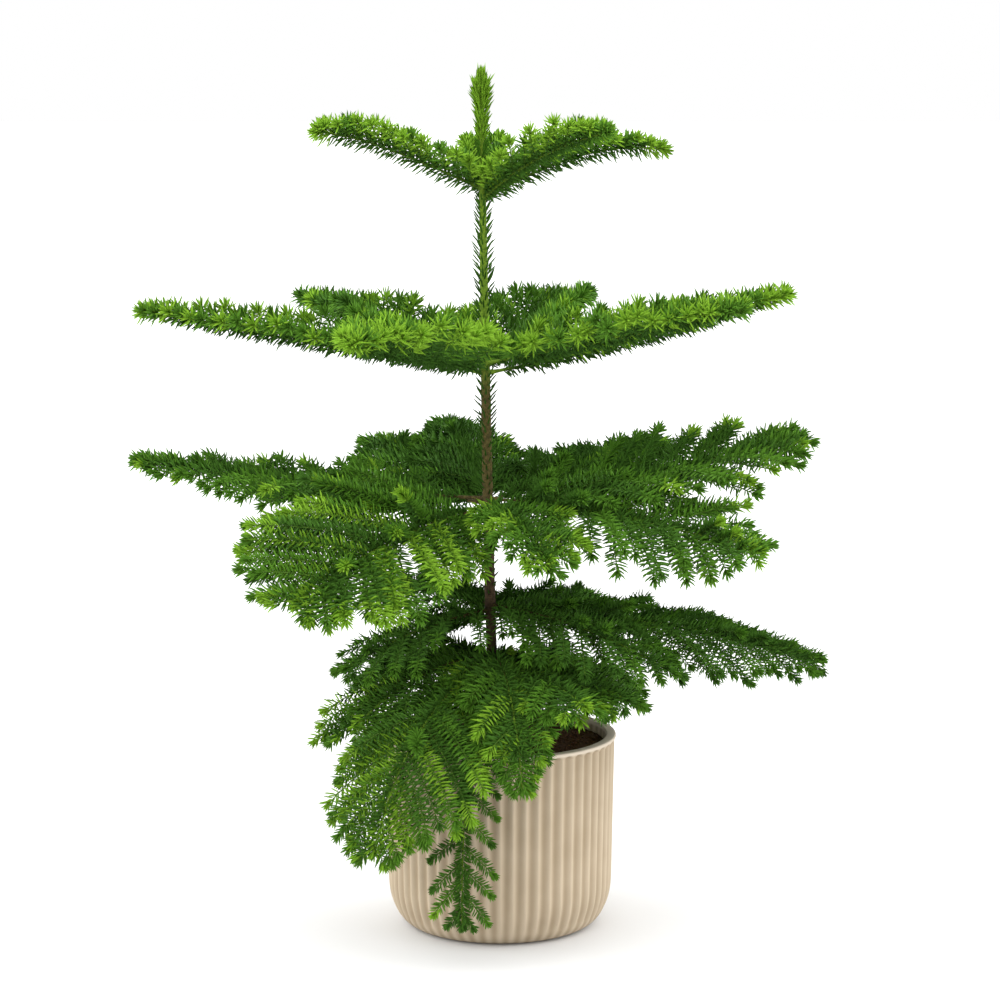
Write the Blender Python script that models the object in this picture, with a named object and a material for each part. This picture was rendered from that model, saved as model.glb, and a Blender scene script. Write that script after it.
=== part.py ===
"""A young norfolk island pine in a fluted stoneware pot, standing on the pot's flat underside.

Metres, +Z up, origin at the centre of the underside. Azimuths are in degrees: 0 is to the right (+X),
90 to the back (+Y), 180 to the left and 270 to the front.
"""

import math
import random
from typing import NamedTuple

import bmesh
import bpy
import numpy as np
from mathutils import Vector
from mathutils.bvhtree import BVHTree

# Space between two pieces that meet
CLEARANCE = 0.0003

# Pot
POT_HEIGHT = 0.1766
FOOT_RADIUS = 0.078
BASE_RADIUS = 0.1026
BASE_HEIGHT = 0.045
BASE_TURNS = (32, 60, 90)
RIM_RADIUS = 0.1050
LIP_RADIUS = 0.1062
LIP_DEPTH = 0.0086
LIP_FOOT = 0.0022
LIP_ROUND = 0.0020
LIP_INNER_ROUND = 0.0006
FLUTE_TOP = 0.1705
FLUTE_BOTTOM = 0.0105
FLUTE_COUNT = 56
FLUTE_DEPTH = 0.0019
FLOOR_THICKNESS = 0.012
FLOOR_RADIUS = 0.086

# Soil
SOIL_LEVEL = 0.1710
SOIL_CROWN = 0.0030
SOIL_BUMP = 0.0016
SOIL_RINGS = (0.070, 0.046, 0.022)
SOIL_LEVEL_RADIUS = 0.012
SOIL_SIDES = 28
SOIL_SEED = 5

# Trunk: it leans to the left as it rises and tapers to the foot of the leader
TRUNK_FOOT = SOIL_LEVEL + CLEARANCE
TRUNK_TIP = 0.738
TRUNK_FOOT_X = -0.0030
TRUNK_LEAN = 0.0140
TRUNK_LEAN_POWER = 0.55
TRUNK_RADIUS = 0.0048
TRUNK_TIP_RADIUS = 0.0020
TRUNK_TAPER = 3.0
TRUNK_FLARE = 0.0016
TRUNK_FLARE_HEIGHT = 0.012
TRUNK_SIDES = 12
TRUNK_ROWS = 14
TRUNK_ROW_POWER = 1.35
PLANT_TOP = 0.7775

# Limbs and stems
LIMB_ROOT_RADIUS = 0.0017
LIMB_END_RADIUS = 0.0013
LIMB_SIDES = 6
FIN_TOOTH_GAP = 0.055
FIN_HEIGHT = 1.05
FIN_HALF_THICKNESS = 0.0026
FIN_TIP = 0.6
AXIS_STEPS = 24
WHORL_STAGGER = 0.0045

# Sprays: flat blades of fused needles, thickest along the middle
BLADE_VALLEY = 0.52
BLADE_SWELL = 0.38
SWELL_PLACE = 0.7
TOOTH_PLACE = 0.78
SPRAY_THICKNESS = 0.30
SPRAY_STOUTNESS = 0.45
SPRAY_NARROWING = 0.45
SPRAY_OFFSETS = {1: 0.30, -1: 0.62}
SPRAY_END = 0.97
SPRAY_SINK = 0.0014
SPRAY_ROLL = 34.0
SPRAY_SHRINK = (1.0, 0.85, 0.7, 0.55, 0.42)
SPRAY_LEAST = 0.012
SPRAY_LONG = 0.100
SPRAY_GUARD = 0.0006
DROOP_STEPS = 6
PROFILE_ROOT = 0.65
PROFILE_TIP = 0.14
PROFILE_POWER = 1.2


class Tier(NamedTuple):
    """What the boughs of one whorl share; angles in degrees, sizes in metres."""

    height: float
    needle: float
    reach: float
    spray_gap: float
    spray_width: float
    lift: float
    spread_root: float
    spread_tip: float
    droop: float
    full_from: float
    full_to: float


class Bough(NamedTuple):
    """One bough: where it points, how long it is, and its pitch at the root and at the tip.

    front is the share of the reach that its front branchlets keep near the trunk, and sag the share
    of its whorl's droop.
    """

    name: str
    tier: str
    azimuth: float
    length: float
    rise: float
    fall: float
    bend: float = 1.0
    roll: float = 0.0
    reach: float = 1.0
    bare: float = 0.13
    full_to: float = 0.0
    front: float = 1.0
    sag: float = 1.0


TIERS = {
    "top": Tier(0.667, 0.0125, 0.032, 0.034, 0.015, 44, 60, 35, -4, 0.25, 0.60),
    "upper": Tier(0.511, 0.0120, 0.060, 0.044, 0.018, 27, 66, 40, -4, 0.25, 0.50),
    "middle": Tier(0.388, 0.0090, 0.094, 0.042, 0.019, 8, 68, 44, 8, 0.22, 0.55),
    "lower": Tier(0.290, 0.0085, 0.092, 0.042, 0.019, 4, 66, 42, 12, 0.22, 0.55),
    "skirt": Tier(0.243, 0.0085, 0.087, 0.040, 0.018, 0, 66, 42, 18, 0.22, 0.55),
}

BOUGHS = (
    Bough("top_left", "top", 186, 0.157, 23.5, 2, bend=3.5, bare=0),
    Bough("top_front_right", "top", 320, 0.155, 36, 10, bare=0),
    Bough("top_right", "top", 16, 0.180, 27, -10, bend=1.8, reach=0.70, bare=0),
    Bough("top_back", "top", 92, 0.120, 28, 8, bare=0),
    Bough("upper_left", "upper", 178, 0.314, 9, 11, roll=8, reach=0.68, bare=0.09),
    Bough("upper_back_left", "upper", 126, 0.304, 6, 9, reach=0.85, bare=0.09),
    Bough("upper_back_right", "upper", 71, 0.284, 12, 5, reach=0.95, bare=0.09),
    Bough("upper_right", "upper", 9, 0.286, 9, 18, roll=8, reach=0.72, bare=0.09),
    Bough("upper_front_right", "upper", 331, 0.258, 11, 14, roll=8, reach=0.75, bare=0.10),
    Bough("upper_front_left", "upper", 245, 0.262, 8, 10, bare=0.10),
    Bough("middle_left", "middle", 176, 0.322, 2, 10, roll=9, reach=0.72),
    Bough("middle_left_back", "middle", 147, 0.264, 2, -4, roll=4, reach=0.65),
    Bough("middle_back_left", "middle", 112, 0.285, 10, 3, reach=0.75),
    Bough("middle_back", "middle", 98, 0.290, 9, 6, reach=0.65),
    Bough("middle_back_right", "middle", 53, 0.265, 9, 5, reach=0.85),
    Bough("middle_right", "middle", 10, 0.298, 9, 14, roll=10, full_to=0.65),
    Bough("middle_front_right", "middle", 335, 0.264, -1, -13, roll=17, sag=1.25),
    Bough("middle_front", "middle", 290, 0.165, 4, -30, reach=0.62, front=0.55),
    Bough("middle_front_left", "middle", 226, 0.244, -2, -26, roll=22, reach=1.30, front=0.60),
    Bough("lower_right", "lower", 3, 0.308, 1, -18, roll=12, reach=1.05, bare=0.04, full_to=0.50, sag=1.2),
    Bough("lower_back_left", "lower", 125, 0.170, 4, -8, reach=0.80, bare=0),
    Bough("lower_left", "lower", 163, 0.145, -20, -36, roll=8, reach=0.72, bare=0),
    Bough("lower_front_left", "lower", 206, 0.150, -5, -28, reach=0.78, bare=0),
    Bough("lower_front_right", "lower", 333, 0.190, -3, -26, roll=8, reach=0.80, bare=0),
    Bough("lower_back_right", "lower", 62, 0.205, 0, -10, reach=0.80),
    Bough("skirt_left", "skirt", 202, 0.146, 0, -46, roll=8, reach=1.10, full_to=0.75),
    Bough("skirt_front_left", "skirt", 239, 0.250, 0, -67, reach=1.16, full_to=0.50, front=1.15),
    Bough("skirt_front", "skirt", 261, 0.293, 4, -95, bend=0.8, reach=0.45, full_to=0.86, sag=0.30),
    Bough("skirt_front_middle", "skirt", 279, 0.205, 10, -62, reach=0.56, bare=0),
    Bough("skirt_front_right", "skirt", 302, 0.155, 8, -16, reach=0.75, bare=0),
    Bough("skirt_right", "skirt", 324, 0.150, 2, -16, reach=0.88),
    Bough("skirt_back_right", "skirt", 45, 0.175, 2, -24, reach=0.90),
    Bough("skirt_back_left", "skirt", 118, 0.175, 2, -24, reach=0.90),
)

# Leader: the upright bushy head above the top whorl
LEADER_BLADES = 12
LEADER_TURN = 137.5
LEADER_REACH = 0.0110
LEADER_HEAD_REACH = 0.0165
LEADER_BLADE_WIDTH = 0.0048
LEADER_BLADE_THICKNESS = 0.0012
LEADER_PITCH_FOOT = 34.0
LEADER_PITCH_HEAD = 60.0
LEADER_STEM_RADII = (0.0018, 0.0018, 0.0016, 0.0008)
LEADER_STEM_SHORT = 0.004
LEADER_FIRST_BLADE = 0.0015
LEADER_LAST_BLADE = 0.012

# Colours: linear red, green and blue
STONEWARE = (0.48, 0.39, 0.28)
POTTING_MIX = (0.035, 0.018, 0.011)
BARK = (0.105, 0.075, 0.028)
YOUNG_BARK = (0.17, 0.26, 0.035)
NEEDLES = {
    "top": (0.06, 0.24, 0.014),
    "upper": (0.065, 0.25, 0.016),
    "middle": (0.035, 0.17, 0.020),
    "lower": (0.015, 0.10, 0.014),
    "skirt": (0.022, 0.13, 0.016),
}
STONEWARE_ROUGHNESS = 0.75
POTTING_MIX_ROUGHNESS = 0.95
BARK_ROUGHNESS = 0.85
NEEDLE_ROUGHNESS = 0.6

# Edges sharper than this, in degrees, stay sharp on the smooth pieces
SMOOTH_ANGLE = 65.0


def clear_scene():
    for obj in list(bpy.data.objects):
        bpy.data.objects.remove(obj, do_unlink=True)


def unit(vector):
    return vector / np.linalg.norm(vector)


def paint(obj, colour, roughness):
    """Gives the object a Principled material of its own."""
    material = bpy.data.materials.new(obj.name + "_surface")
    material.use_nodes = True
    shader = material.node_tree.nodes["Principled BSDF"]
    shader.inputs["Base Color"].default_value = (*colour, 1.0)
    shader.inputs["Roughness"].default_value = roughness
    shader.inputs["Metallic"].default_value = 0.0
    obj.data.materials.append(material)


def add_object(name, vertices, faces, smooth=False):
    """Adds the mesh as an object; a smooth one is shaded smooth save at its sharp edges."""
    mesh = bpy.data.meshes.new(name)
    mesh.from_pydata([tuple(v) for v in vertices], [], [tuple(f) for f in faces])
    mesh.update()
    obj = bpy.data.objects.new(name, mesh)
    bpy.context.scene.collection.objects.link(obj)
    if smooth:
        mesh.shade_smooth()
        mesh.set_sharp_from_angle(angle=math.radians(SMOOTH_ANGLE))
    return obj


def revolve(rings):
    """Vertices and faces of a solid of rings, closed at both ends; each ring runs the same way round."""
    sides = len(rings[0])
    vertices = [point for ring in rings for point in ring]
    faces = [tuple(reversed(range(sides)))]
    for row in range(len(rings) - 1):
        for column in range(sides):
            after = (column + 1) % sides
            low, high = row * sides, (row + 1) * sides
            faces.append((low + column, low + after, high + after, high + column))
    last = (len(rings) - 1) * sides
    faces.append(tuple(range(last, last + sides)))
    return vertices, faces


# Pot and soil


def pot_profile():
    """Radius, height and share of the flutes' depth, from the underside over the lip to the inner floor."""
    profile = [(FOOT_RADIUS, 0.0, 0.0)]
    for angle in BASE_TURNS:
        swing = math.radians(angle)
        radius = FOOT_RADIUS + (BASE_RADIUS - FOOT_RADIUS) * math.sin(swing)
        height = BASE_HEIGHT * (1 - math.cos(swing))
        profile.append((radius, height, 0.0 if height < FLUTE_BOTTOM else 1.0))
    inner = LIP_RADIUS - LIP_DEPTH
    profile += [
        (RIM_RADIUS, FLUTE_TOP, 1.0),
        (LIP_RADIUS, FLUTE_TOP + LIP_FOOT, 0.0),
        (LIP_RADIUS - LIP_ROUND, POT_HEIGHT, 0.0),
        (inner + LIP_INNER_ROUND, POT_HEIGHT - LIP_INNER_ROUND, 0.0),
        (FLOOR_RADIUS, FLOOR_THICKNESS, 0.0),
    ]
    return profile


def inner_radius(height):
    """Radius of the pot's inner wall at that height."""
    inner = LIP_RADIUS - LIP_DEPTH
    share = (height - FLOOR_THICKNESS) / (POT_HEIGHT - FLOOR_THICKNESS)
    return FLOOR_RADIUS + (inner - FLOOR_RADIUS) * share


def build_pot():
    sides = 2 * FLUTE_COUNT
    rings = []
    for radius, height, fluted in pot_profile():
        ring = []
        for column in range(sides):
            angle = 2 * math.pi * column / sides
            reach = radius - fluted * FLUTE_DEPTH * (column % 2)
            ring.append((reach * math.cos(angle), reach * math.sin(angle), height))
        rings.append(ring)
    pot = add_object("pot", *revolve(rings), smooth=True)
    paint(pot, STONEWARE, STONEWARE_ROUGHNESS)
    return pot


def build_soil():
    chance = random.Random(SOIL_SEED)
    rings = []
    floor = FLOOR_THICKNESS + CLEARANCE

    def ring_at(radius, height, bump=0.0):
        ring = []
        for column in range(SOIL_SIDES):
            angle = 2 * math.pi * column / SOIL_SIDES
            lift = chance.uniform(-bump, bump)
            ring.append((radius * math.cos(angle), radius * math.sin(angle), height + lift))
        return ring

    # the many-sided edge is drawn in, so that its corners stay clear of the wall
    edge_level = SOIL_LEVEL - SOIL_CROWN
    edge_radius = inner_radius(edge_level) - 2 * CLEARANCE
    rings.append(ring_at(inner_radius(floor) - 2 * CLEARANCE, floor))
    rings.append(ring_at(edge_radius, edge_level))
    for radius in SOIL_RINGS:
        fall = SOIL_CROWN * (radius / edge_radius) ** 2
        rings.append(ring_at(radius, SOIL_LEVEL - SOIL_BUMP - fall, SOIL_BUMP))
    rings.append(ring_at(SOIL_LEVEL_RADIUS, SOIL_LEVEL))
    soil = add_object("soil", *revolve(rings))
    paint(soil, POTTING_MIX, POTTING_MIX_ROUGHNESS)
    return soil


# Trunk


def trunk_axis(height):
    """Centre of the trunk at that height."""
    share = max(0.0, (height - TRUNK_FOOT) / (PLANT_TOP - TRUNK_FOOT))
    return np.array([TRUNK_FOOT_X - TRUNK_LEAN * share**TRUNK_LEAN_POWER, 0.0, height])


def trunk_radius(height):
    share = (height - TRUNK_FOOT) / (TRUNK_TIP - TRUNK_FOOT)
    flare = TRUNK_FLARE * math.exp(-(height - TRUNK_FOOT) / TRUNK_FLARE_HEIGHT)
    return TRUNK_RADIUS + (TRUNK_TIP_RADIUS - TRUNK_RADIUS) * share**TRUNK_TAPER + flare


def build_trunk():
    rings = []
    for row in range(TRUNK_ROWS + 1):
        share = row / TRUNK_ROWS
        height = TRUNK_FOOT + (TRUNK_TIP - TRUNK_FOOT) * share**TRUNK_ROW_POWER
        centre = trunk_axis(height)
        radius = trunk_radius(height)
        ring = []
        for column in range(TRUNK_SIDES):
            angle = 2 * math.pi * column / TRUNK_SIDES
            ring.append(centre + radius * np.array([math.cos(angle), math.sin(angle), 0.0]))
        rings.append(ring)
    trunk = add_object("trunk", *revolve(rings), smooth=True)
    paint(trunk, BARK, BARK_ROUGHNESS)
    return trunk


# Growth rule: how a bough runs and how its branchlets leave it


def whorl_order(bough):
    """Place of the bough in its whorl, counted by azimuth."""
    whorl = sorted((b for b in BOUGHS if b.tier == bough.tier), key=lambda b: b.azimuth)
    return whorl.index(bough)


def bough_axis(bough):
    """Points along the bough from the trunk's centre to the bough's tip."""
    stagger = WHORL_STAGGER * (whorl_order(bough) % 3 - 1)
    point = trunk_axis(TIERS[bough.tier].height + stagger)
    heading = math.radians(bough.azimuth)
    points = [point]
    for step in range(AXIS_STEPS):
        share = (step + 0.5) / AXIS_STEPS
        pitch = math.radians(bough.rise + (bough.fall - bough.rise) * share**bough.bend)
        run = math.cos(pitch)
        stride = np.array([run * math.cos(heading), run * math.sin(heading), math.sin(pitch)])
        point = point + stride * bough.length / AXIS_STEPS
        points.append(point)
    return points


def axis_frame(bough, points, share):
    """Point, direction, right-hand side and upper side of the bough at that share of its length."""
    step = min(int(share * AXIS_STEPS), AXIS_STEPS - 1)
    part = share * AXIS_STEPS - step
    point = points[step] * (1 - part) + points[step + 1] * part
    ahead = unit(points[step + 1] - points[step])
    heading = math.radians(bough.azimuth)
    side = np.array([math.sin(heading), -math.cos(heading), 0.0])
    upper = np.cross(side, ahead)
    # a positive roll lifts the back side of the bough and lowers its front side
    roll = math.radians(bough.roll) * (1 if side[1] > 0 else -1)
    side = math.cos(roll) * side + math.sin(roll) * upper
    return point, ahead, side, np.cross(side, ahead)


def reach_profile(bough, share):
    """Share of the full reach that a branchlet has there: long early on, short at the tip."""
    tier = TIERS[bough.tier]
    full_to = bough.full_to or tier.full_to
    if share < tier.full_from:
        return PROFILE_ROOT + (1 - PROFILE_ROOT) * math.sin(share / tier.full_from * math.pi / 2)
    if share < full_to:
        return 1.0
    fade = ((share - full_to) / (1 - full_to)) ** PROFILE_POWER
    return PROFILE_TIP + (1 - PROFILE_TIP) * (1 - fade)


def branchlet_path(bough, points, share, hand, shrink=1.0):
    """Points of the branchlet that leaves there to that hand, and the upper side of its frond."""
    tier = TIERS[bough.tier]
    start, ahead, side, upper = axis_frame(bough, points, share)
    spread = math.radians(tier.spread_root + (tier.spread_tip - tier.spread_root) * share)
    lift = math.radians(tier.lift)
    outward = math.cos(lift) * side * hand + math.sin(lift) * upper
    heading = math.cos(spread) * ahead + math.sin(spread) * outward
    reach = tier.reach * bough.reach * reach_profile(bough, share) * shrink
    if hand * side[1] < 0:
        reach *= bough.front + (1 - bough.front) * share
    sink = 2 * math.tan(math.radians(tier.droop * bough.sag))
    path = [start]
    for step in range(DROOP_STEPS):
        fallen = heading - np.array([0.0, 0.0, sink * (step + 0.5) / DROOP_STEPS])
        path.append(path[-1] + unit(fallen) * reach / DROOP_STEPS)
    return path, unit(np.cross(heading, np.cross(upper, heading)))


# Solids of the boughs and masses


def tube(centres, radii, sides):
    """A tapering solid round the centres, with flat ends square to its direction."""
    rings = []
    first = unit(centres[1] - centres[0])
    across = np.cross(first, [0.0, 0.0, 1.0])
    if np.linalg.norm(across) < 0.1:
        across = np.array([1.0, 0.0, 0.0])
    for index, (centre, radius) in enumerate(zip(centres, radii)):
        behind = centres[max(index - 1, 0)]
        ahead = unit(centres[min(index + 1, len(centres) - 1)] - behind)
        across = unit(across - ahead * np.dot(across, ahead))
        upward = np.cross(across, ahead)
        ring = []
        for side in range(sides):
            angle = 2 * math.pi * (side + 0.5) / sides
            ring.append(centre + radius * (math.cos(angle) * across - math.sin(angle) * upward))
        rings.append(ring)
    return revolve(rings)


def blade(path, face, half_width, half_thickness, pairs, pointed):
    """A toothed blade along the path: a diamond section whose edge runs out into forward teeth.

    It begins at a point where it is sunk into a stem, or else at a small flat end.
    """

    def place(share):
        """Centre of the blade at that share of its path, and the direction across it there."""
        steps = len(path) - 1
        step = min(int(share * steps), steps - 1)
        part = share * steps - step
        across = unit(np.cross(path[step + 1] - path[step], face))
        return path[step] * (1 - part) + path[step + 1] * part, across

    vertices = []
    sections = []
    for pair in range(pairs):
        centre, across = place(pair / pairs)
        tooth, tooth_across = place((pair + TOOTH_PLACE) / pairs)
        swell = 1 - BLADE_SWELL * (1 - math.sin(math.pi * (pair + SWELL_PLACE) / pairs))
        width = half_width * swell
        if pair == 0 and pointed:
            sections.append([len(vertices)] * 4)
            vertices.append(centre)
        else:
            valley = width * BLADE_VALLEY if pair else half_thickness
            thickness = half_thickness * swell
            sections.append(list(range(len(vertices), len(vertices) + 4)))
            vertices += [
                centre + face * thickness,
                centre - across * valley,
                centre - face * thickness,
                centre + across * valley,
            ]
        sections[-1] += [len(vertices), len(vertices) + 1]
        vertices += [tooth - tooth_across * width, tooth + tooth_across * width]
    sections.append([len(vertices)] * 4)
    vertices.append(path[-1])

    faces = [] if pointed else [(3, 2, 1, 0)]
    for now, then in zip(sections, sections[1:]):
        top, left, bottom, right, left_tip, right_tip = now
        next_top, next_left, next_bottom, next_right = then[:4]
        faces += [
            (top, left, left_tip),
            (top, left_tip, next_top),
            (right, top, right_tip),
            (right_tip, top, next_top),
            (left, bottom, left_tip),
            (left_tip, bottom, next_bottom),
            (bottom, right, right_tip),
            (bottom, right_tip, next_bottom),
            (left_tip, next_left, next_top),
            (right_tip, next_top, next_right),
            (left_tip, next_bottom, next_left),
            (right_tip, next_right, next_bottom),
        ]
    return vertices, [face for face in faces if len(set(face)) == len(face)]


def blade_face(path, upper):
    """Direction out of the blade's upper face, leaned so that its front edge hangs the lower."""
    heading = unit(path[-1] - path[0])
    across = unit(np.cross(heading, upper))
    lean = math.radians(SPRAY_ROLL) * (1 if across[1] < 0 else -1)
    face = np.cross(across, heading)
    return math.cos(lean) * face + math.sin(lean) * across


class Space:
    """Remembers where each solid stands, so that a new piece can be tested before it is kept."""

    def __init__(self):
        self.claims = []

    def claim(self, owner, vertices, faces):
        corners = np.array([tuple(v) for v in vertices])
        tree = BVHTree.FromPolygons([tuple(v) for v in corners], [tuple(f) for f in faces])
        self.claims.append((owner, corners.min(0), corners.max(0), tree))

    def is_free(self, owner, vertices, faces, guard):
        """Whether the piece, grown all round by the guard, stays clear of every other owner's solids."""
        corners = np.array([tuple(v) for v in vertices])
        centre = corners.mean(0)
        away = corners - centre
        grown = corners + away / np.linalg.norm(away, axis=1)[:, None] * guard
        tree = BVHTree.FromPolygons([tuple(v) for v in grown], [tuple(f) for f in faces])
        low = grown.min(0) - guard
        high = grown.max(0) + guard
        for other, other_low, other_high, other_tree in self.claims:
            if other == owner or (other_low > high).any() or (other_high < low).any():
                continue
            if other_tree.overlap(tree):
                return False
            for point in corners:
                if other_tree.find_nearest(Vector(point), guard)[0] is not None:
                    return False
        return True


def limb_start(bough, points, half_width):
    """Share of the bough's length at which a limb of that half width stands clear of the trunk."""
    pitch = math.radians(abs(bough.rise))
    clear = trunk_radius(points[0][2]) + CLEARANCE + half_width * math.sin(pitch)
    return clear / math.cos(pitch) / bough.length


def limb_solid(bough, points):
    start = limb_start(bough, points, LIMB_ROOT_RADIUS)
    shares = [start + (bough.bare - start) * step / 2 for step in range(3)]
    centres = [axis_frame(bough, points, share)[0] for share in shares]
    radii = [LIMB_ROOT_RADIUS, (LIMB_ROOT_RADIUS + LIMB_END_RADIUS) / 2, LIMB_END_RADIUS]
    return tube(centres, radii, LIMB_SIDES)


def stem_start(bough, points):
    """Share of the bough's length at which its mass begins: at the limb's end or at the trunk."""
    if bough.bare:
        return bough.bare + CLEARANCE / bough.length
    return limb_start(bough, points, FIN_HALF_THICKNESS)


def stem_solid(bough, points):
    """The stem, with the needles that stand above and below it: an upright toothed blade to the tip."""
    tier = TIERS[bough.tier]
    start = stem_start(bough, points)
    pairs = max(3, round((1 - start) * bough.length / FIN_TOOTH_GAP))
    rows = 3 * pairs
    path = [axis_frame(bough, points, start + (1 - start) * row / rows)[0] for row in range(rows + 1)]
    path[-1] = path[-1] + unit(path[-1] - path[-2]) * tier.needle * FIN_TIP
    heading = math.radians(bough.azimuth)
    face = np.array([math.sin(heading), -math.cos(heading), 0.0])
    return blade(path, face, tier.needle * FIN_HEIGHT, FIN_HALF_THICKNESS, pairs, False)


def spray_plan(bough, points):
    """Shares and hands of the mass's sprays, in the order in which they grow."""
    tier = TIERS[bough.tier]
    start = stem_start(bough, points)
    span = (1 - start) * bough.length
    pairs = max(3, round(span / tier.spray_gap))
    plan = []
    for pair in range(pairs):
        for hand, offset in SPRAY_OFFSETS.items():
            plan.append((start + (SPRAY_END - start) * (pair + offset) / pairs, hand))
    return plan


def plan_sprays(space, axes):
    """Grows the sprays of all masses in turn and keeps those that stay clear of the other masses."""
    kept = {bough.name: [] for bough in BOUGHS}
    plans = {bough.name: spray_plan(bough, axes[bough.name]) for bough in BOUGHS}
    for turn in range(max(len(plan) for plan in plans.values())):
        for bough in BOUGHS:
            plan = plans[bough.name]
            if turn >= len(plan):
                continue
            share, hand = plan[turn]
            tier = TIERS[bough.tier]
            for shrink in SPRAY_SHRINK:
                path, upper = branchlet_path(bough, axes[bough.name], share, hand, shrink)
                length = np.linalg.norm(path[-1] - path[0])
                if length < SPRAY_LEAST:
                    break
                width = tier.spray_width * (1 - SPRAY_NARROWING * (1 - shrink))
                width = min(width, length * SPRAY_STOUTNESS)
                pairs = 3 if length > SPRAY_LONG else 2
                face = blade_face(path, upper)
                path[0] = path[0] - unit(path[1] - path[0]) * SPRAY_SINK
                grown = blade(path, face, width, width * SPRAY_THICKNESS, pairs, True)
                if space.is_free(bough.name, *grown, SPRAY_GUARD):
                    space.claim(bough.name, *grown)
                    kept[bough.name].append(grown)
                    break
    return kept


def leader_solids():
    """Stem and upward blades of the leader's bushy head."""
    foot = TRUNK_TIP + CLEARANCE
    rows = len(LEADER_STEM_RADII) - 1
    stem_rise = (PLANT_TOP - LEADER_STEM_SHORT - foot) / rows
    centres = [trunk_axis(foot + stem_rise * row) for row in range(rows + 1)]
    solids = [tube(centres, LEADER_STEM_RADII, LIMB_SIDES)]
    first = foot + LEADER_FIRST_BLADE
    last = PLANT_TOP - LEADER_LAST_BLADE
    for index in range(LEADER_BLADES):
        share = index / (LEADER_BLADES - 1)
        height = first + (last - first) * share
        azimuth = math.radians(LEADER_TURN * index)
        pitch = math.radians(LEADER_PITCH_FOOT + (LEADER_PITCH_HEAD - LEADER_PITCH_FOOT) * share)
        heading = np.array(
            [math.cos(pitch) * math.cos(azimuth), math.cos(pitch) * math.sin(azimuth), math.sin(pitch)]
        )
        reach = LEADER_REACH + (LEADER_HEAD_REACH - LEADER_REACH) * share
        origin = trunk_axis(height)
        reach = min(reach, (PLANT_TOP - height) / math.sin(pitch))
        path = [origin + heading * reach * step / DROOP_STEPS for step in range(DROOP_STEPS + 1)]
        face = np.cross(heading, [math.sin(azimuth), -math.cos(azimuth), 0.0])
        path[0] = path[0] - heading * SPRAY_SINK
        solids.append(blade(path, unit(face), LEADER_BLADE_WIDTH, LEADER_BLADE_THICKNESS, 2, True))
    return solids


# Joining


def keep_main_body(obj):
    """Keeps the largest outer skin of the mesh and drops sealed hollows and loose scraps."""
    work = bmesh.new()
    work.from_mesh(obj.data)
    bmesh.ops.triangulate(work, faces=work.faces[:])
    bmesh.ops.dissolve_degenerate(work, dist=0.000001, edges=work.edges[:])
    bmesh.ops.triangulate(work, faces=work.faces[:])
    waiting = set(work.faces)
    bodies = []
    while waiting:
        body = [waiting.pop()]
        for face in body:
            for edge in face.edges:
                for neighbour in edge.link_faces:
                    if neighbour in waiting:
                        waiting.remove(neighbour)
                        body.append(neighbour)
        volume = sum(f.verts[0].co.dot(f.verts[1].co.cross(f.verts[2].co)) / 6 for f in body)
        bodies.append((volume, body))
    largest = max(bodies, key=lambda entry: entry[0])[1]
    spare = [face for volume, body in bodies if body is not largest for face in body]
    bmesh.ops.delete(work, geom=spare, context="FACES")
    work.to_mesh(obj.data)
    work.free()


def join(name, solids):
    """One closed solid from the first solid and all the others sunk into it."""
    base = add_object(name, *solids[0])
    group = bpy.data.collections.new(name + "_sprays")
    bpy.context.scene.collection.children.link(group)
    for index, (vertices, faces) in enumerate(solids[1:]):
        spray = add_object(f"{name}_spray_{index}", vertices, faces)
        bpy.context.scene.collection.objects.unlink(spray)
        group.objects.link(spray)
    fuse = base.modifiers.new("fuse", "BOOLEAN")
    fuse.operation = "UNION"
    fuse.operand_type = "COLLECTION"
    fuse.collection = group
    fuse.solver = "EXACT"
    bpy.context.view_layer.update()
    bpy.context.view_layer.objects.active = base
    with bpy.context.temp_override(object=base, active_object=base, selected_objects=[base]):
        bpy.ops.object.modifier_apply(modifier=fuse.name)
    for spray in list(group.objects):
        mesh = spray.data
        bpy.data.objects.remove(spray, do_unlink=True)
        bpy.data.meshes.remove(mesh)
    bpy.data.collections.remove(group)
    keep_main_body(base)
    return base


def claim_object(space, obj):
    vertices = [tuple(v.co) for v in obj.data.vertices]
    faces = [tuple(f.vertices) for f in obj.data.polygons]
    space.claim(obj.name, vertices, faces)


def main():
    clear_scene()
    space = Space()
    for obj in (build_pot(), build_soil(), build_trunk()):
        claim_object(space, obj)

    leader = leader_solids()
    for solid in leader:
        space.claim("leader", *solid)
    axes = {bough.name: bough_axis(bough) for bough in BOUGHS}
    stems = {}
    for bough in BOUGHS:
        points = axes[bough.name]
        stems[bough.name] = [stem_solid(bough, points)]
        for solid in stems[bough.name]:
            space.claim(bough.name, *solid)
        if bough.bare:
            limb = add_object("bough_" + bough.name, *limb_solid(bough, points), smooth=True)
            paint(limb, YOUNG_BARK if bough.tier == "upper" else BARK, BARK_ROUGHNESS)
            claim_object(space, limb)
    kept = plan_sprays(space, axes)

    paint(join("leader", leader), NEEDLES["top"], NEEDLE_ROUGHNESS)
    for bough in BOUGHS:
        mass = join("foliage_" + bough.name, stems[bough.name] + kept[bough.name])
        paint(mass, NEEDLES[bough.tier], NEEDLE_ROUGHNESS)


if __name__ == "__main__":
    main()
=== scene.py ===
import math
from typing import NamedTuple

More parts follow.
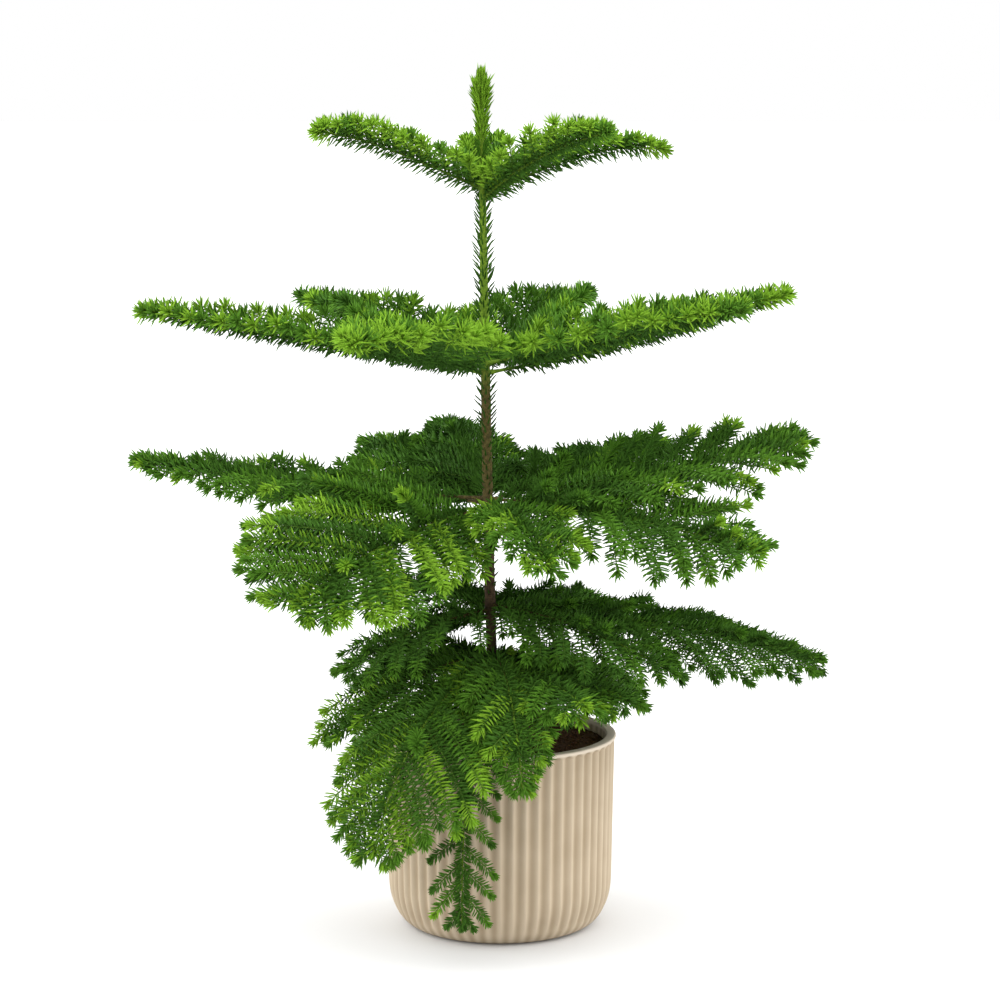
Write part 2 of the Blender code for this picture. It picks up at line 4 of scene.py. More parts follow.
import bpy
import numpy as np
from bpy.props import FloatProperty, FloatVectorProperty, IntProperty, PointerProperty
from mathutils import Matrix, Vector


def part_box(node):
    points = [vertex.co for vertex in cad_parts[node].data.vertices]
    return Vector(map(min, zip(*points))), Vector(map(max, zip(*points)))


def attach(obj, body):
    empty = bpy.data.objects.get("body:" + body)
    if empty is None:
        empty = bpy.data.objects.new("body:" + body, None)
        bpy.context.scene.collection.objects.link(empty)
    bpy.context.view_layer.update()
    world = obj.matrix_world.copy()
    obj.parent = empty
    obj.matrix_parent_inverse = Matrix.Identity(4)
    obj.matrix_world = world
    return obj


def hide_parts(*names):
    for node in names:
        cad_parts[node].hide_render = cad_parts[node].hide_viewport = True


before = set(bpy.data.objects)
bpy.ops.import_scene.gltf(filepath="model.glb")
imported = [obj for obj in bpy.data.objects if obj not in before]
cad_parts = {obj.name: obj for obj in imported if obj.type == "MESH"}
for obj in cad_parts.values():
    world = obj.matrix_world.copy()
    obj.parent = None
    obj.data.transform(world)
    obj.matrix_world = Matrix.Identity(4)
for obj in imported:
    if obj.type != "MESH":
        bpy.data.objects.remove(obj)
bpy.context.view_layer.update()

bl_info = {
    "name": "Potted norfolk island pine",
    "version": (1, 0, 0),
    "blender": (4, 5, 0),
    "location": "3D View > Sidebar > Pine",
    "description": "Dresses the solids of a potted pine with bark, twigs, needles, clay and soil",
    "category": "Add Mesh",
}

# Azimuths are in degrees: 0 is to the right (+X), 90 to the back (+Y), 180 to the left, 270 to the front

# Places read from the solids
TRUNK_LOW, TRUNK_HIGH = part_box("trunk")
TRUNK_FOOT = TRUNK_LOW.z
TRUNK_TIP = TRUNK_HIGH.z
PLANT_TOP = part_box("leader")[1].z
POT_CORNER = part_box("pot")[1]
POT_HEIGHT = POT_CORNER.z
LIP_RADIUS = POT_CORNER.x
LIP_HEIGHT = 0.0045
SOIL_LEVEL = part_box("soil")[1].z

# Trunk: it leans to the left as it rises and tapers to the foot of the leader
TRUNK_FOOT_X = -0.0030
TRUNK_LEAN = 0.0140
TRUNK_LEAN_POWER = 0.55
TRUNK_RADIUS = 0.0048
TRUNK_TIP_RADIUS = 0.0020
TRUNK_TAPER = 3.0
TRUNK_FLARE = 0.0016
TRUNK_FLARE_HEIGHT = 0.012

# Growth rule
LIMB_ROOT_RADIUS = 0.0017
LIMB_END_RADIUS = 0.0013
LIMB_TIP_RADIUS = 0.0007
AXIS_STEPS = 24
WHORL_STAGGER = 0.0045
DROOP_STEPS = 6
PROFILE_ROOT = 0.65
PROFILE_TIP = 0.14
PROFILE_POWER = 1.2
HAND_OFFSETS = {1: 0.30, -1: 0.62}
BRANCHLET_END = 0.985
GOLDEN_ANGLE = math.radians(137.508)


class Tier(NamedTuple):
    """What the boughs of one whorl share; angles in degrees, sizes in metres."""

    height: float
    needle: float
    reach: float
    lift: float
    spread_root: float
    spread_tip: float
    droop: float
    full_from: float
    full_to: float


class Bough(NamedTuple):
    """One bough: where it points, how long it is, and its pitch at the root and at the tip.

    Its name starts with its whorl's. front is the share of the reach that its front branchlets keep
    near the trunk. sag, sparse and fine are shares of its whorl's droop, of the space between its
    branchlets, and of its needles' length and spacing. The last field makes its needles lighter or
    darker: painted light, mostly on boughs at the front, and painted shade, mostly on those at the back.
    """

    name: str
    azimuth: float
    length: float
    rise: float
    fall: float
    bend: float = 1.0
    roll: float = 0.0
    reach: float = 1.0
    bare: float = 0.13
    full_to: float = 0.0
    front: float = 1.0
    sag: float = 1.0
    sparse: float = 1.0
    fine: float = 1.0
    tone: float = 0.0

    @property
    def tier(self):
        return self.name.split("_")[0]


class Coat(NamedTuple):
    """How needles stand on the twigs of one whorl; angles in degrees, sizes in metres."""

    branchlet_gap: float
    needle_gap: float
    half_width: float
    open_angle: float
    tip_angle: float
    curl: float
    flatness: float
    underside: float
    under_length: float
    lift: float
    upright: float
    star: int
    rings: int
    fresh_share: float
    body: dict
    tip: dict
    # Tint of the needles on a twig's underside: painted shade under the frond
    under: str


TIERS = {
    "top": Tier(0.667, 0.0135, 0.032, 44, 60, 35, -4, 0.25, 0.60),
    "upper": Tier(0.511, 0.0165, 0.060, 27, 66, 40, -4, 0.25, 0.50),
    "middle": Tier(0.388, 0.0135, 0.094, 8, 68, 44, 8, 0.22, 0.55),
    "lower": Tier(0.290, 0.0120, 0.092, 4, 66, 42, 12, 0.22, 0.55),
    "skirt": Tier(0.243, 0.0130, 0.087, 0, 66, 42, 18, 0.22, 0.55),
}

COATS = {
    "top": Coat(
        0.0122, 0.00086, 0.00078, 74, 50, 24, 0.10, 0.95, 1.15, 0.0, 0.0, 14, 2, 0.42,
        {"fresh": 0.42, "bright": 0.58}, {"fresh": 0.80, "bright": 0.20}, "deep",
    ),
    "upper": Coat(
        0.0125, 0.00094, 0.00084, 74, 50, 20, 0.15, 0.80, 0.75, 0.0, 0.0, 16, 2, 0.40,
        {"bright": 0.55, "deep": 0.45}, {"fresh": 0.55, "bright": 0.45}, "shade",
    ),
    "middle": Coat(
        0.0106, 0.00084, 0.00084, 78, 46, 26, 0.84, 0.60, 0.80, 0.02, 0.07, 11, 2, 0.24,
        {"bright": 0.46, "deep": 0.54}, {"fresh": 0.32, "bright": 0.60, "deep": 0.08}, "shade",
    ),
    "lower": Coat(
        0.0108, 0.00082, 0.00080, 76, 46, 22, 0.70, 0.70, 0.80, 0.0, 0.14, 12, 1, 0.26,
        {"bright": 0.12, "deep": 0.78, "shade": 0.10}, {"bright": 0.65, "deep": 0.35}, "shade",
    ),
    "skirt": Coat(
        0.0108, 0.00086, 0.00078, 78, 46, 24, 0.85, 0.60, 0.80, 0.0, 0.03, 11, 2, 0.22,
        {"bright": 0.50, "deep": 0.50}, {"fresh": 0.30, "bright": 0.60, "deep": 0.10}, "shade",
    ),
}
# From the lightest tint to the darkest: fresh is the lime of new growth; bright, deep and shade are partly
# the needles' age and partly painted light and painted shade, bright for needles in full light and shade for
# needles in shade
TINTS = ("fresh", "bright", "deep", "shade")

BOUGHS = (
    Bough("top_left", 186, 0.157, 23.5, 2, bend=3.5, bare=0),
    Bough("top_front_right", 320, 0.155, 36, 10, bare=0),
    Bough("top_right", 16, 0.180, 27, -10, bend=1.8, reach=0.70, bare=0),
    Bough("top_back", 92, 0.120, 28, 8, bare=0, tone=-0.4),
    Bough("upper_left", 178, 0.314, 9, 11, roll=8, reach=0.68, bare=0.09),
    Bough("upper_back_left", 126, 0.304, 6, 9, reach=0.85, bare=0.09, tone=-0.5),
    Bough("upper_back_right", 71, 0.284, 12, 5, reach=0.95, bare=0.09, tone=-0.5),
    Bough("upper_right", 9, 0.286, 9, 18, roll=8, reach=0.72, bare=0.09),
    Bough("upper_front_right", 331, 0.258, 11, 14, roll=8, reach=0.75, bare=0.10, tone=0.2),
    Bough("upper_front_left", 245, 0.262, 8, 10, bare=0.10, tone=0.55),
    Bough("middle_left", 176, 0.322, 2, 10, roll=9, reach=0.72),
    Bough("middle_left_back", 147, 0.264, 2, -4, roll=4, reach=0.65, tone=-0.4),
    Bough("middle_back_left", 112, 0.285, 10, 3, reach=0.75, tone=-0.7),
    Bough("middle_back", 98, 0.290, 9, 6, reach=0.65, tone=-0.8),
    Bough("middle_back_right", 53, 0.265, 9, 5, reach=0.85, tone=-0.7),
    Bough("middle_right", 10, 0.298, 9, 14, roll=10, full_to=0.65),
    Bough("middle_front_right", 335, 0.264, -1, -13, roll=17, sag=1.25),
    Bough("middle_front", 290, 0.165, 4, -30, reach=0.62, front=0.55, tone=0.3),
    Bough("middle_front_left", 226, 0.244, -2, -26, roll=22, reach=1.30, front=0.60, sparse=0.56, tone=0.40),
    Bough(
        "lower_right", 3, 0.308, 1, -18, roll=12, reach=1.05, bare=0.04, full_to=0.50, sag=1.2, sparse=0.72
    ),
    Bough("lower_back_left", 125, 0.170, 4, -8, reach=0.80, bare=0, sparse=1.2, tone=-0.3),
    Bough("lower_left", 163, 0.145, -20, -36, roll=8, reach=0.72, bare=0, sparse=1.5),
    Bough("lower_front_left", 206, 0.150, -5, -28, reach=0.78, bare=0, sparse=1.4),
    Bough("lower_front_right", 333, 0.190, -3, -26, roll=8, reach=0.80, bare=0),
    Bough("lower_back_right", 62, 0.205, 0, -10, reach=0.80),
    Bough("skirt_left", 202, 0.146, 0, -46, roll=8, reach=1.10, full_to=0.75, tone=0.2),
    Bough(
        "skirt_front_left", 239, 0.250, 0, -67, reach=1.16, full_to=0.50, front=1.15, sparse=0.82, tone=0.35
    ),
    Bough(
        "skirt_front", 261, 0.293, 4, -95,
        bend=0.8, reach=0.45, full_to=0.86, sag=0.30, sparse=1.9, fine=0.66, tone=-0.6,
    ),
    Bough("skirt_front_middle", 279, 0.205, 10, -62, reach=0.56, bare=0, tone=0.1),
    Bough("skirt_front_right", 302, 0.155, 8, -16, reach=0.75, bare=0, tone=-0.2),
    Bough("skirt_right", 324, 0.150, 2, -16, reach=0.88, tone=-0.4),
    Bough("skirt_back_right", 45, 0.175, 2, -24, reach=0.90),
    Bough("skirt_back_left", 118, 0.175, 2, -24, reach=0.90),
)
YOUNG_TIERS = ("top", "upper")

# How far a branchlet may stray from the rule, and its shortest and longest reach against it
SHARE_STRAY = 0.20
SPREAD_STRAY = 7.0
LIFT_STRAY = 9.0
SHORTEST = 0.82
LONGEST = 1.06
BRANCHLET_SEED = 100

# Tufts: the few branchlets that stand up from an old frond, with needles closer than on a flat twig
UPRIGHT_LIFT = 55.0
UPRIGHT_STRETCH = 0.36
TUFT_CROWDING = 0.42

# A bough's needles against a twig's: their spacing, their stray and the share of it that is fresh
BOUGH_CROWDING = 0.50
BOUGH_STRAY = 2.0
BOUGH_FRESH_SHARE = 0.12
# Share of a bough's bare stretch that has no needles
NAKED_SHARE = 0.6

# Needles along a twig: how far their opening (degrees) and turn (radians) stray, and their sizes
# against the whorl's, which fall by END_SHRINK over the foot and over the tip of the twig
NEEDLE_SEED = 500
FEWEST_NEEDLES = 4
TWIG_FOOT = 0.002
OPENING_STRAY = 7.0
TURN_STRAY = 0.25
NEEDLE_SIZES = (0.84, 1.08)
UNDER_SIZES = (0.62, 1.06)
FOOT_LENGTH = 0.008
TIP_LENGTH = 0.014
END_SHRINK = 0.25
FRESH_STRAY = (0.7, 1.2)
# Sine of the turn under which a needle is on the twig's underside
UNDER_SINE = -0.35

# Star of needles at a twig's tip: from its middle outwards they open and grow; angles in degrees
STAR_DEPTH = 0.0025
STAR_OPENED = 10
STAR_WIDEST = 50
FULL_STAR = 12
FULL_STAR_WIDEST = 84
STAR_POWER = 0.8
STAR_CURL = 12
STAR_SIZE = 0.70
STAR_GROWTH = 0.28

# A needle, by its number of rings: the stretches of its length, its width at the rings against its
# widest, the height of its ridge against half its width, and its triangles
NEEDLE_STRETCHES = {1: (0.42, 0.58), 2: (0.30, 0.38, 0.32)}
NEEDLE_WIDTHS = (1.0, 0.85)
NEEDLE_FOOT_WIDTH = 0.6
NEEDLE_RIDGE = 1.7
NEEDLE_TRIANGLES = {1: 5, 2: 9}

# Twigs
TWIG_SIDES = 4
TWIG_STATIONS = 6
TWIG_ROOT_RADIUS = 0.00085
TWIG_TIP_RADIUS = 0.00045

# Largest joined piece, in triangles
MOST_TRIANGLES = 195000

# Height of the small waves of a rough surface against the large ones
SMALL_WAVES = 0.6
# A tube's cross-section is turned another way where it runs this near to upright
STEEP = 0.05


# Mesh helpers


def unit(vector):
    return vector / np.linalg.norm(vector)


def unit_rows(rows):
    return rows / np.linalg.norm(rows, axis=-1, keepdims=True)


def add_piece(name, vertices, triangles, material, slot, nodes=()):
    """Adds a smooth-shaded mesh that rides on the plant and stands for those nodes."""
    mesh = bpy.data.meshes.new(name)
    count = len(triangles)
    mesh.vertices.add(len(vertices))
    mesh.vertices.foreach_set("co", np.asarray(vertices, np.float32).ravel())
    mesh.loops.add(3 * count)
    mesh.loops.foreach_set("vertex_index", np.asarray(triangles, np.int32).ravel())
    mesh.polygons.add(count)
    mesh.polygons.foreach_set("loop_start", np.arange(0, 3 * count, 3, dtype=np.int32))
    mesh.update(calc_edges=True)
    mesh.shade_smooth()
    mesh.materials.append(material)
    piece = bpy.data.objects.new(name, mesh)
    bpy.context.scene.collection.objects.link(piece)
    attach(piece, "root")
    if nodes:
        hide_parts(*nodes)
    return piece


def round_angles(count):
    return 2 * math.pi * np.arange(count) / count


def outward(angles):
    """Level directions at those angles."""
    return np.stack([np.cos(angles), np.sin(angles), np.zeros(len(angles))], -1)


def smooth(share):
    """An even rise from 0 to 1 that starts and ends gently."""
    share = np.clip(share, 0, 1)
    return share * share * (3 - 2 * share)


def grid_triangles(rows, columns):
    """Triangles of rings of points, each ring closed on itself and joined to the next."""
    row, column = np.meshgrid(np.arange(rows - 1), np.arange(columns), indexing="ij")
    after = (column + 1) % columns
    low, low_after = row * columns + column, row * columns + after
    high, high_after = low + columns, low_after + columns
    first = np.stack([low, low_after, high_after], -1)
    second = np.stack([low, high_after, high], -1)
    return np.concatenate([first.reshape(-1, 3), second.reshape(-1, 3)])


def fan_triangles(ring, centre, outside):
    """Triangles that close a ring of point numbers over a centre."""
    following = np.roll(ring, -1)
    order = (ring, following) if outside else (following, ring)
    return np.stack([*order, np.full_like(ring, centre)], -1)


def closed_rings(rings, first_centre, last_centre):
    """Vertices and triangles of rings joined in turn, the first and the last closed over a centre."""
    rows, columns = len(rings), len(rings[0])
    ring = np.arange(columns)
    vertices = np.concatenate([*rings, [first_centre], [last_centre]])
    triangles = np.concatenate([
        grid_triangles(rows, columns),
        fan_triangles(ring, rows * columns, False),
        fan_triangles(ring + (rows - 1) * columns, rows * columns + 1, True),
    ])
    return vertices, triangles


def many_copies(triangles, count, each):
    """Those triangles for that many shapes of as many vertices each."""
    return (np.asarray(triangles)[None] + (np.arange(count) * each)[:, None, None]).reshape(-1, 3)


def joined(parts):
    """One list of vertices and triangles from several."""
    vertices, triangles, count = [], [], 0
    for part_vertices, part_triangles in parts:
        vertices.append(part_vertices)
        triangles.append(part_triangles + count)
        count += len(part_vertices)
    return np.concatenate(vertices), np.concatenate(triangles)


def many_tubes(centres, radii, sides):
    """Tapering tubes along many paths at once, closed at the far end by a point.

    centres is paths by stations by 3, and radii is stations long.
    """
    paths, stations = centres.shape[:2]
    ahead = unit_rows(np.gradient(centres, axis=1))
    across = np.cross(ahead, [0.0, 0.0, 1.0])
    steep = np.linalg.norm(across, axis=-1) < STEEP
    across[steep] = np.cross(ahead[steep], [0.0, 1.0, 0.0])
    across = unit_rows(across)
    upward = np.cross(across, ahead)
    angles = round_angles(sides)[:, None]
    ring = np.cos(angles) * across[:, :, None] + np.sin(angles) * upward[:, :, None]
    vertices = centres[:, :, None] + ring * np.asarray(radii)[None, :, None, None]
    tips = centres[:, -1:] + ahead[:, -1:] * radii[-1]
    vertices = np.concatenate([vertices.reshape(paths, -1, 3), tips], axis=1)
    each = stations * sides + 1
    cap = fan_triangles(np.arange(sides) + (stations - 1) * sides, each - 1, False)
    one = np.concatenate([grid_triangles(stations, sides)[:, ::-1], cap])
    return vertices.reshape(-1, 3), many_copies(one, paths, each)


def wave_noise(places, seed, size, waves=9, gain=1.6):
    """Smooth noise, mostly between -1 and 1, from a few seeded waves about that long."""
    chance = np.random.default_rng(seed)
    total = np.zeros(len(places))
    for _ in range(waves):
        heading = unit(chance.normal(size=3))
        length = size * chance.uniform(0.6, 1.8)
        total += np.sin(places @ heading * 2 * math.pi / length + chance.uniform(0, 2 * math.pi))
    return total / waves * gain


def rough_noise(places, seed, large, small):
    """Noise of a large size with lower waves of a small size on it."""
    return wave_noise(places, seed, large) + SMALL_WAVES * wave_noise(places, seed + 1, small)


# Growth rule, as the solids follow it


def trunk_axis(height):
    """Centre of the trunk at that height."""
    share = max(0.0, (height - TRUNK_FOOT) / (PLANT_TOP - TRUNK_FOOT))
    return np.array([TRUNK_FOOT_X - TRUNK_LEAN * share**TRUNK_LEAN_POWER, 0.0, height])


def trunk_radius(height):
    share = (height - TRUNK_FOOT) / (TRUNK_TIP - TRUNK_FOOT)
    flare = TRUNK_FLARE * math.exp(-(height - TRUNK_FOOT) / TRUNK_FLARE_HEIGHT)
    return TRUNK_RADIUS + (TRUNK_TIP_RADIUS - TRUNK_RADIUS) * share**TRUNK_TAPER + flare


def whorl_order(bough):
    """Place of the bough in its whorl, counted by azimuth."""
    whorl = sorted((b for b in BOUGHS if b.tier == bough.tier), key=lambda b: b.azimuth)
    return whorl.index(bough)


def bough_axis(bough):
    """Points along the bough from the trunk's centre to the bough's tip."""
    stagger = WHORL_STAGGER * (whorl_order(bough) % 3 - 1)
    point = trunk_axis(TIERS[bough.tier].height + stagger)
    heading = math.radians(bough.azimuth)
    points = [point]
    for step in range(AXIS_STEPS):
        share = (step + 0.5) / AXIS_STEPS
        pitch = math.radians(bough.rise + (bough.fall - bough.rise) * share**bough.bend)
        run = math.cos(pitch)
        stride = np.array([run * math.cos(heading), run * math.sin(heading), math.sin(pitch)])
        point = point + stride * bough.length / AXIS_STEPS
        points.append(point)
    return points


def axis_frame(bough, points, share):
    """Point, direction, right-hand side and upper side of the bough at that share of its length."""
    step = min(int(share * AXIS_STEPS), AXIS_STEPS - 1)
    part = share * AXIS_STEPS - step
    point = points[step] * (1 - part) + points[step + 1] * part
    ahead = unit(points[step + 1] - points[step])
    heading = math.radians(bough.azimuth)
    side = np.array([math.sin(heading), -math.cos(heading), 0.0])
    upper = np.cross(side, ahead)
    # a positive roll lifts the back side of the bough and lowers its front side
    roll = math.radians(bough.roll) * (1 if side[1] > 0 else -1)
    side = math.cos(roll) * side + math.sin(roll) * upper
    return point, ahead, side, np.cross(side, ahead)


def reach_profile(bough, share):
    """Share of the full reach that a branchlet has there: long early on, short at the tip."""
    tier = TIERS[bough.tier]
    full_to = bough.full_to or tier.full_to
    if share < tier.full_from:
        return PROFILE_ROOT + (1 - PROFILE_ROOT) * math.sin(share / tier.full_from * math.pi / 2)
    if share < full_to:
        return 1.0
    fade = ((share - full_to) / (1 - full_to)) ** PROFILE_POWER
    return PROFILE_TIP + (1 - PROFILE_TIP) * (1 - fade)


def branchlet_path(bough, points, share, hand, stray):
    """Points of the branchlet that leaves there to that hand, and the upper side of its frond."""
    tier = TIERS[bough.tier]
    spread_stray, lift_stray, stretch = stray
    start, ahead, side, upper = axis_frame(bough, points, share)
    spread = tier.spread_root + (tier.spread_tip - tier.spread_root) * share
    spread = math.radians(spread + spread_stray)
    lift = math.radians(tier.lift + lift_stray)
    outward = math.cos(lift) * side * hand + math.sin(lift) * upper
    heading = math.cos(spread) * ahead + math.sin(spread) * outward
    reach = tier.reach * bough.reach * reach_profile(bough, share) * stretch
    if hand * side[1] < 0:
        reach *= bough.front + (1 - bough.front) * share
    sink = 2 * math.tan(math.radians(tier.droop * bough.sag))
    path = [start]
    for step in range(DROOP_STEPS):
        fallen = heading - np.array([0.0, 0.0, sink * (step + 0.5) / DROOP_STEPS])
        path.append(path[-1] + unit(fallen) * reach / DROOP_STEPS)
    return np.array(path), unit(np.cross(heading, np.cross(upper, heading)))


def limb_start(bough, points):
    """Share of the bough's length at which it stands clear of the trunk."""
    pitch = math.radians(abs(bough.rise))
    return trunk_radius(points[0][2]) / math.cos(pitch) / bough.length


class Branchlet(NamedTuple):
    """One twig of a bough: its path, the upper side of its frond and whether it stands up."""

    path: np.ndarray
    upper: np.ndarray
    upright: bool


def branchlets_of(bough, points, chance):
    """The branchlets of one bough, to the right and the left in turn."""
    coat = COATS[bough.tier]
    start = bough.bare or limb_start(bough, points)
    rows = round((1 - start) * bough.length / (coat.branchlet_gap * bough.sparse))
    found = []
    for row in range(rows):
        for hand, offset in HAND_OFFSETS.items():
            place = row + offset + chance.uniform(-SHARE_STRAY, SHARE_STRAY)
            share = start + (BRANCHLET_END - start) * place / rows
            stray = (
                chance.uniform(-SPREAD_STRAY, SPREAD_STRAY),
                chance.uniform(-LIFT_STRAY, LIFT_STRAY),
                chance.uniform(SHORTEST, LONGEST),
            )
            upright = chance.uniform() < coat.upright
            if upright:
                stray = (stray[0], stray[1] + UPRIGHT_LIFT, stray[2] * UPRIGHT_STRETCH)
            found.append(Branchlet(*branchlet_path(bough, points, share, hand, stray), upright))
    return found


def grow():
    """Axis and branchlets of every bough, by name."""
    plant = {}
    for number, bough in enumerate(BOUGHS):
        chance = np.random.default_rng(BRANCHLET_SEED + number)
        points = bough_axis(bough)
        plant[bough.name] = (points, branchlets_of(bough, points, chance))
    return plant


# Needles


class NeedleBed:
    """Gathers needles by whorl and tint until they are joined into meshes."""

    def __init__(self):
        self.rows = {}

    def add(self, key, root, along, radial, opened, curl, length, half_width):
        """Adds needles: arrays of one row each, angles in radians."""
        full = np.ones(len(root))
        row = np.column_stack(
            [root, along, radial, opened * full, curl * full, length * full, half_width * full]
        )
        self.rows.setdefault(key, []).append(row)

    def mesh(self, rows, rings):
        """Vertices and triangles of the needles: bent awls with a ridge, narrowing to the tip."""
        root, along, radial = rows[:, 0:3], rows[:, 3:6], rows[:, 6:9]
        opened, curl, length, width = (rows[:, column, None] for column in (9, 10, 11, 12))
        across = unit_rows(np.cross(along, radial))
        first = np.cos(opened) * along + np.sin(opened) * radial
        closed = opened - curl
        later = np.cos(closed) * along + np.sin(closed) * radial
        headings = (first, unit_rows(first + later))[:rings]
        *stretches, last_stretch = NEEDLE_STRETCHES[rings]
        foot = across * width * NEEDLE_FOOT_WIDTH
        corners = [root - foot, root + foot]
        centre = root
        for heading, stretch, share in zip(headings, stretches, NEEDLE_WIDTHS):
            centre = centre + heading * length * stretch
            side = across * width * share
            ridge = np.cross(heading, across) * width * share * NEEDLE_RIDGE
            corners += [centre - side, centre + ridge, centre + side]
        corners.append(centre + later * length * last_stretch)
        each = len(corners)
        one = [(0, 3, 2), (0, 1, 3), (1, 4, 3)]
        if rings == 2:
            one += [(2, 3, 6), (2, 6, 5), (3, 4, 7), (3, 7, 6)]
        last = each - 1
        one += [(last - 3, last - 2, last), (last - 2, last - 1, last)]
        return np.stack(corners, axis=1).reshape(-1, 3), many_copies(one, len(rows), each)


def along_path(path, distances):
    """Points and directions at those distances along a path of straight stretches."""
    strides = np.diff(path, axis=0)
    lengths = np.linalg.norm(strides, axis=1)
    ends = np.concatenate([[0.0], np.cumsum(lengths)])
    stretch = np.clip(np.searchsorted(ends, distances, side="right") - 1, 0, len(strides) - 1)
    ahead = strides / lengths[:, None]
    places = path[stretch] + ahead[stretch] * (distances - ends[stretch])[:, None]
    corners = np.concatenate([ahead[:1], unit_rows(ahead[:-1] + ahead[1:]), ahead[-1:]])
    part = ((distances - ends[stretch]) / lengths[stretch])[:, None]
    return places, unit_rows(corners[stretch] * (1 - part) + corners[stretch + 1] * part)


def pick(chance, weights, tone):
    """A tint by those weights, one step lighter or darker as often as the last argument says: painted light
    and painted shade by the bough's place.
    """
    names = list(weights)
    shares = np.array([weights[name] for name in names])
    place = TINTS.index(names[chance.choice(len(names), p=shares / shares.sum())])
    if chance.uniform() < abs(tone):
        place += -1 if tone > 0 else 1
    return TINTS[min(max(place, 0), len(TINTS) - 1)]


def needle_places(coat, path, upper, chance, bare):
    """Where needles stand in a spiral along a twig: place, direction, side, upper side and turn."""
    total = np.linalg.norm(np.diff(path, axis=0), axis=1).sum()
    count = max(FEWEST_NEEDLES, round((total - bare) / coat.needle_gap))
    distances = bare + (np.arange(count) + 0.5) * (total - bare) / count
    places, along = along_path(path, distances)
    side = unit_rows(np.cross(along, upper))
    turn = np.arange(count) * GOLDEN_ANGLE + chance.uniform(0, 2 * math.pi)
    turn += chance.uniform(-TURN_STRAY, TURN_STRAY, count)
    turn -= coat.flatness * np.sin(2 * turn) / 2
    return total, distances, places, along, side, np.cross(side, along), turn


def clothe(bed, tier_name, path, upper, chance, tints, needle, fine, inset=0.0, bare=0.0, tuft=False):
    """Sets needles along a twig: opened wide at its foot, closing towards the star at its tip.

    tints are the tint of the body and of the fresh tip. A twig that is inset is a bough, with more
    needles and a short fresh tip. A tuft has needles all round.
    """
    coat = COATS[tier_name]
    coat = coat._replace(needle_gap=coat.needle_gap * fine)
    if tuft:
        coat = coat._replace(needle_gap=coat.needle_gap * TUFT_CROWDING, flatness=0.0, underside=1.0)
    if inset:
        coat = coat._replace(needle_gap=coat.needle_gap * BOUGH_CROWDING, fresh_share=BOUGH_FRESH_SHARE)
    total, distances, places, along, side, upward, turn = needle_places(coat, path, upper, chance, bare)
    count = len(distances)
    radial = np.cos(turn)[:, None] * side + np.sin(turn)[:, None] * upward
    closing = np.clip((distances - total + TIP_LENGTH) / TIP_LENGTH, 0, 1)
    opened = coat.open_angle + (coat.tip_angle - coat.open_angle) * closing
    stray = OPENING_STRAY * (BOUGH_STRAY if inset else 1.0)
    opened = np.radians(opened + chance.uniform(-stray, stray, count))
    size = chance.uniform(*NEEDLE_SIZES, count) * (1 - END_SHRINK * closing**2)
    size *= 1 - END_SHRINK * np.clip(1 - (distances - bare) / FOOT_LENGTH, 0, 1)
    radial = unit_rows(radial + np.array([0.0, 0.0, coat.lift]))
    radial = unit_rows(radial - along * np.sum(radial * along, axis=1, keepdims=True))
    below = np.sin(turn) < UNDER_SINE
    shortened = chance.uniform(*UNDER_SIZES, count) * (coat.under_length if inset else 1.0)
    size = np.where(below, size * shortened, size)
    kept = ~below | (chance.uniform(0, 1, count) < coat.underside)
    fresh = distances / total > 1 - coat.fresh_share * chance.uniform(*FRESH_STRAY)
    # Needles on the underside, short of the fresh tip, take the darker underside tint: painted shade under
    # the frond
    under = below & ~fresh
    groups = ((coat.under, kept & under), (tints[0], kept & ~fresh & ~under), (tints[1], kept & fresh))
    for tint, chosen in groups:
        if chosen.any():
            bed.add(
                (tier_name, tint),
                places[chosen] + radial[chosen] * inset,
                along[chosen],
                radial[chosen],
                opened[chosen],
                math.radians(coat.curl),
                needle * size[chosen],
                coat.half_width,
            )
    star_turn = np.arange(coat.star) * GOLDEN_ANGLE + chance.uniform(0, 2 * math.pi)
    rank = np.arange(coat.star) / max(1, coat.star - 1)
    widest = FULL_STAR_WIDEST if coat.star > FULL_STAR else STAR_WIDEST
    bed.add(
        (tier_name, tints[1]),
        path[-1] - along[-1] * (STAR_DEPTH * rank)[:, None],
        along[-1] * np.ones((coat.star, 1)),
        np.cos(star_turn)[:, None] * side[-1] + np.sin(star_turn)[:, None] * upward[-1],
        np.radians(STAR_OPENED + (widest - STAR_OPENED) * rank**STAR_POWER),
        math.radians(STAR_CURL),
        needle * (STAR_SIZE + STAR_GROWTH * rank),
        coat.half_width,
    )


# Materials

# Half the span of the summed noise that takes a mottled colour from dark to light, how many times as
# wide it is on the pot's calm clay, and how many times as fine the second noise is
NOISE_SPAN = 0.28
CLAY_CALM = 4.5
FINE_SCALE = 4.3
# How far the roughness changes with the grain
ROUGHNESS_SPAN = 0.28
BUMP_STRENGTH = 0.8
# How far the flutes shift the clay's colour to either side: painted highlight on the ribs, painted shade in
# the hollows
FLUTE_PAINTED_SHADING = 0.36
# Darker colour of a needle against its lighter one
SHADOW = 0.66


def feed(node, inputs):
    """Sets each input of a shader node to its value, or links it to the socket given for it."""
    for key, value in inputs.items():
        if isinstance(value, bpy.types.NodeSocket):
            node.id_data.links.new(value, node.inputs[key])
        else:
            node.inputs[key].default_value = value


def add_node(tree, kind, inputs, **settings):
    """Adds a shader node with those settings and inputs."""
    node = tree.nodes.new("ShaderNode" + kind)
    for name, value in settings.items():
        setattr(node, name, value)
    feed(node, inputs)
    return node


def shader_group(name, inputs, outputs):
    """A new shader group, its inputs as sockets and the node that takes its outputs."""
    tree = bpy.data.node_groups.new(name, "ShaderNodeTree")
    for kind, sockets in (("INPUT", inputs), ("OUTPUT", outputs)):
        for socket, value in sockets.items():
            tree.interface.new_socket(name=socket, in_out=kind, socket_type="NodeSocket" + value)
    return tree, tree.nodes.new("NodeGroupInput").outputs, tree.nodes.new("NodeGroupOutput")


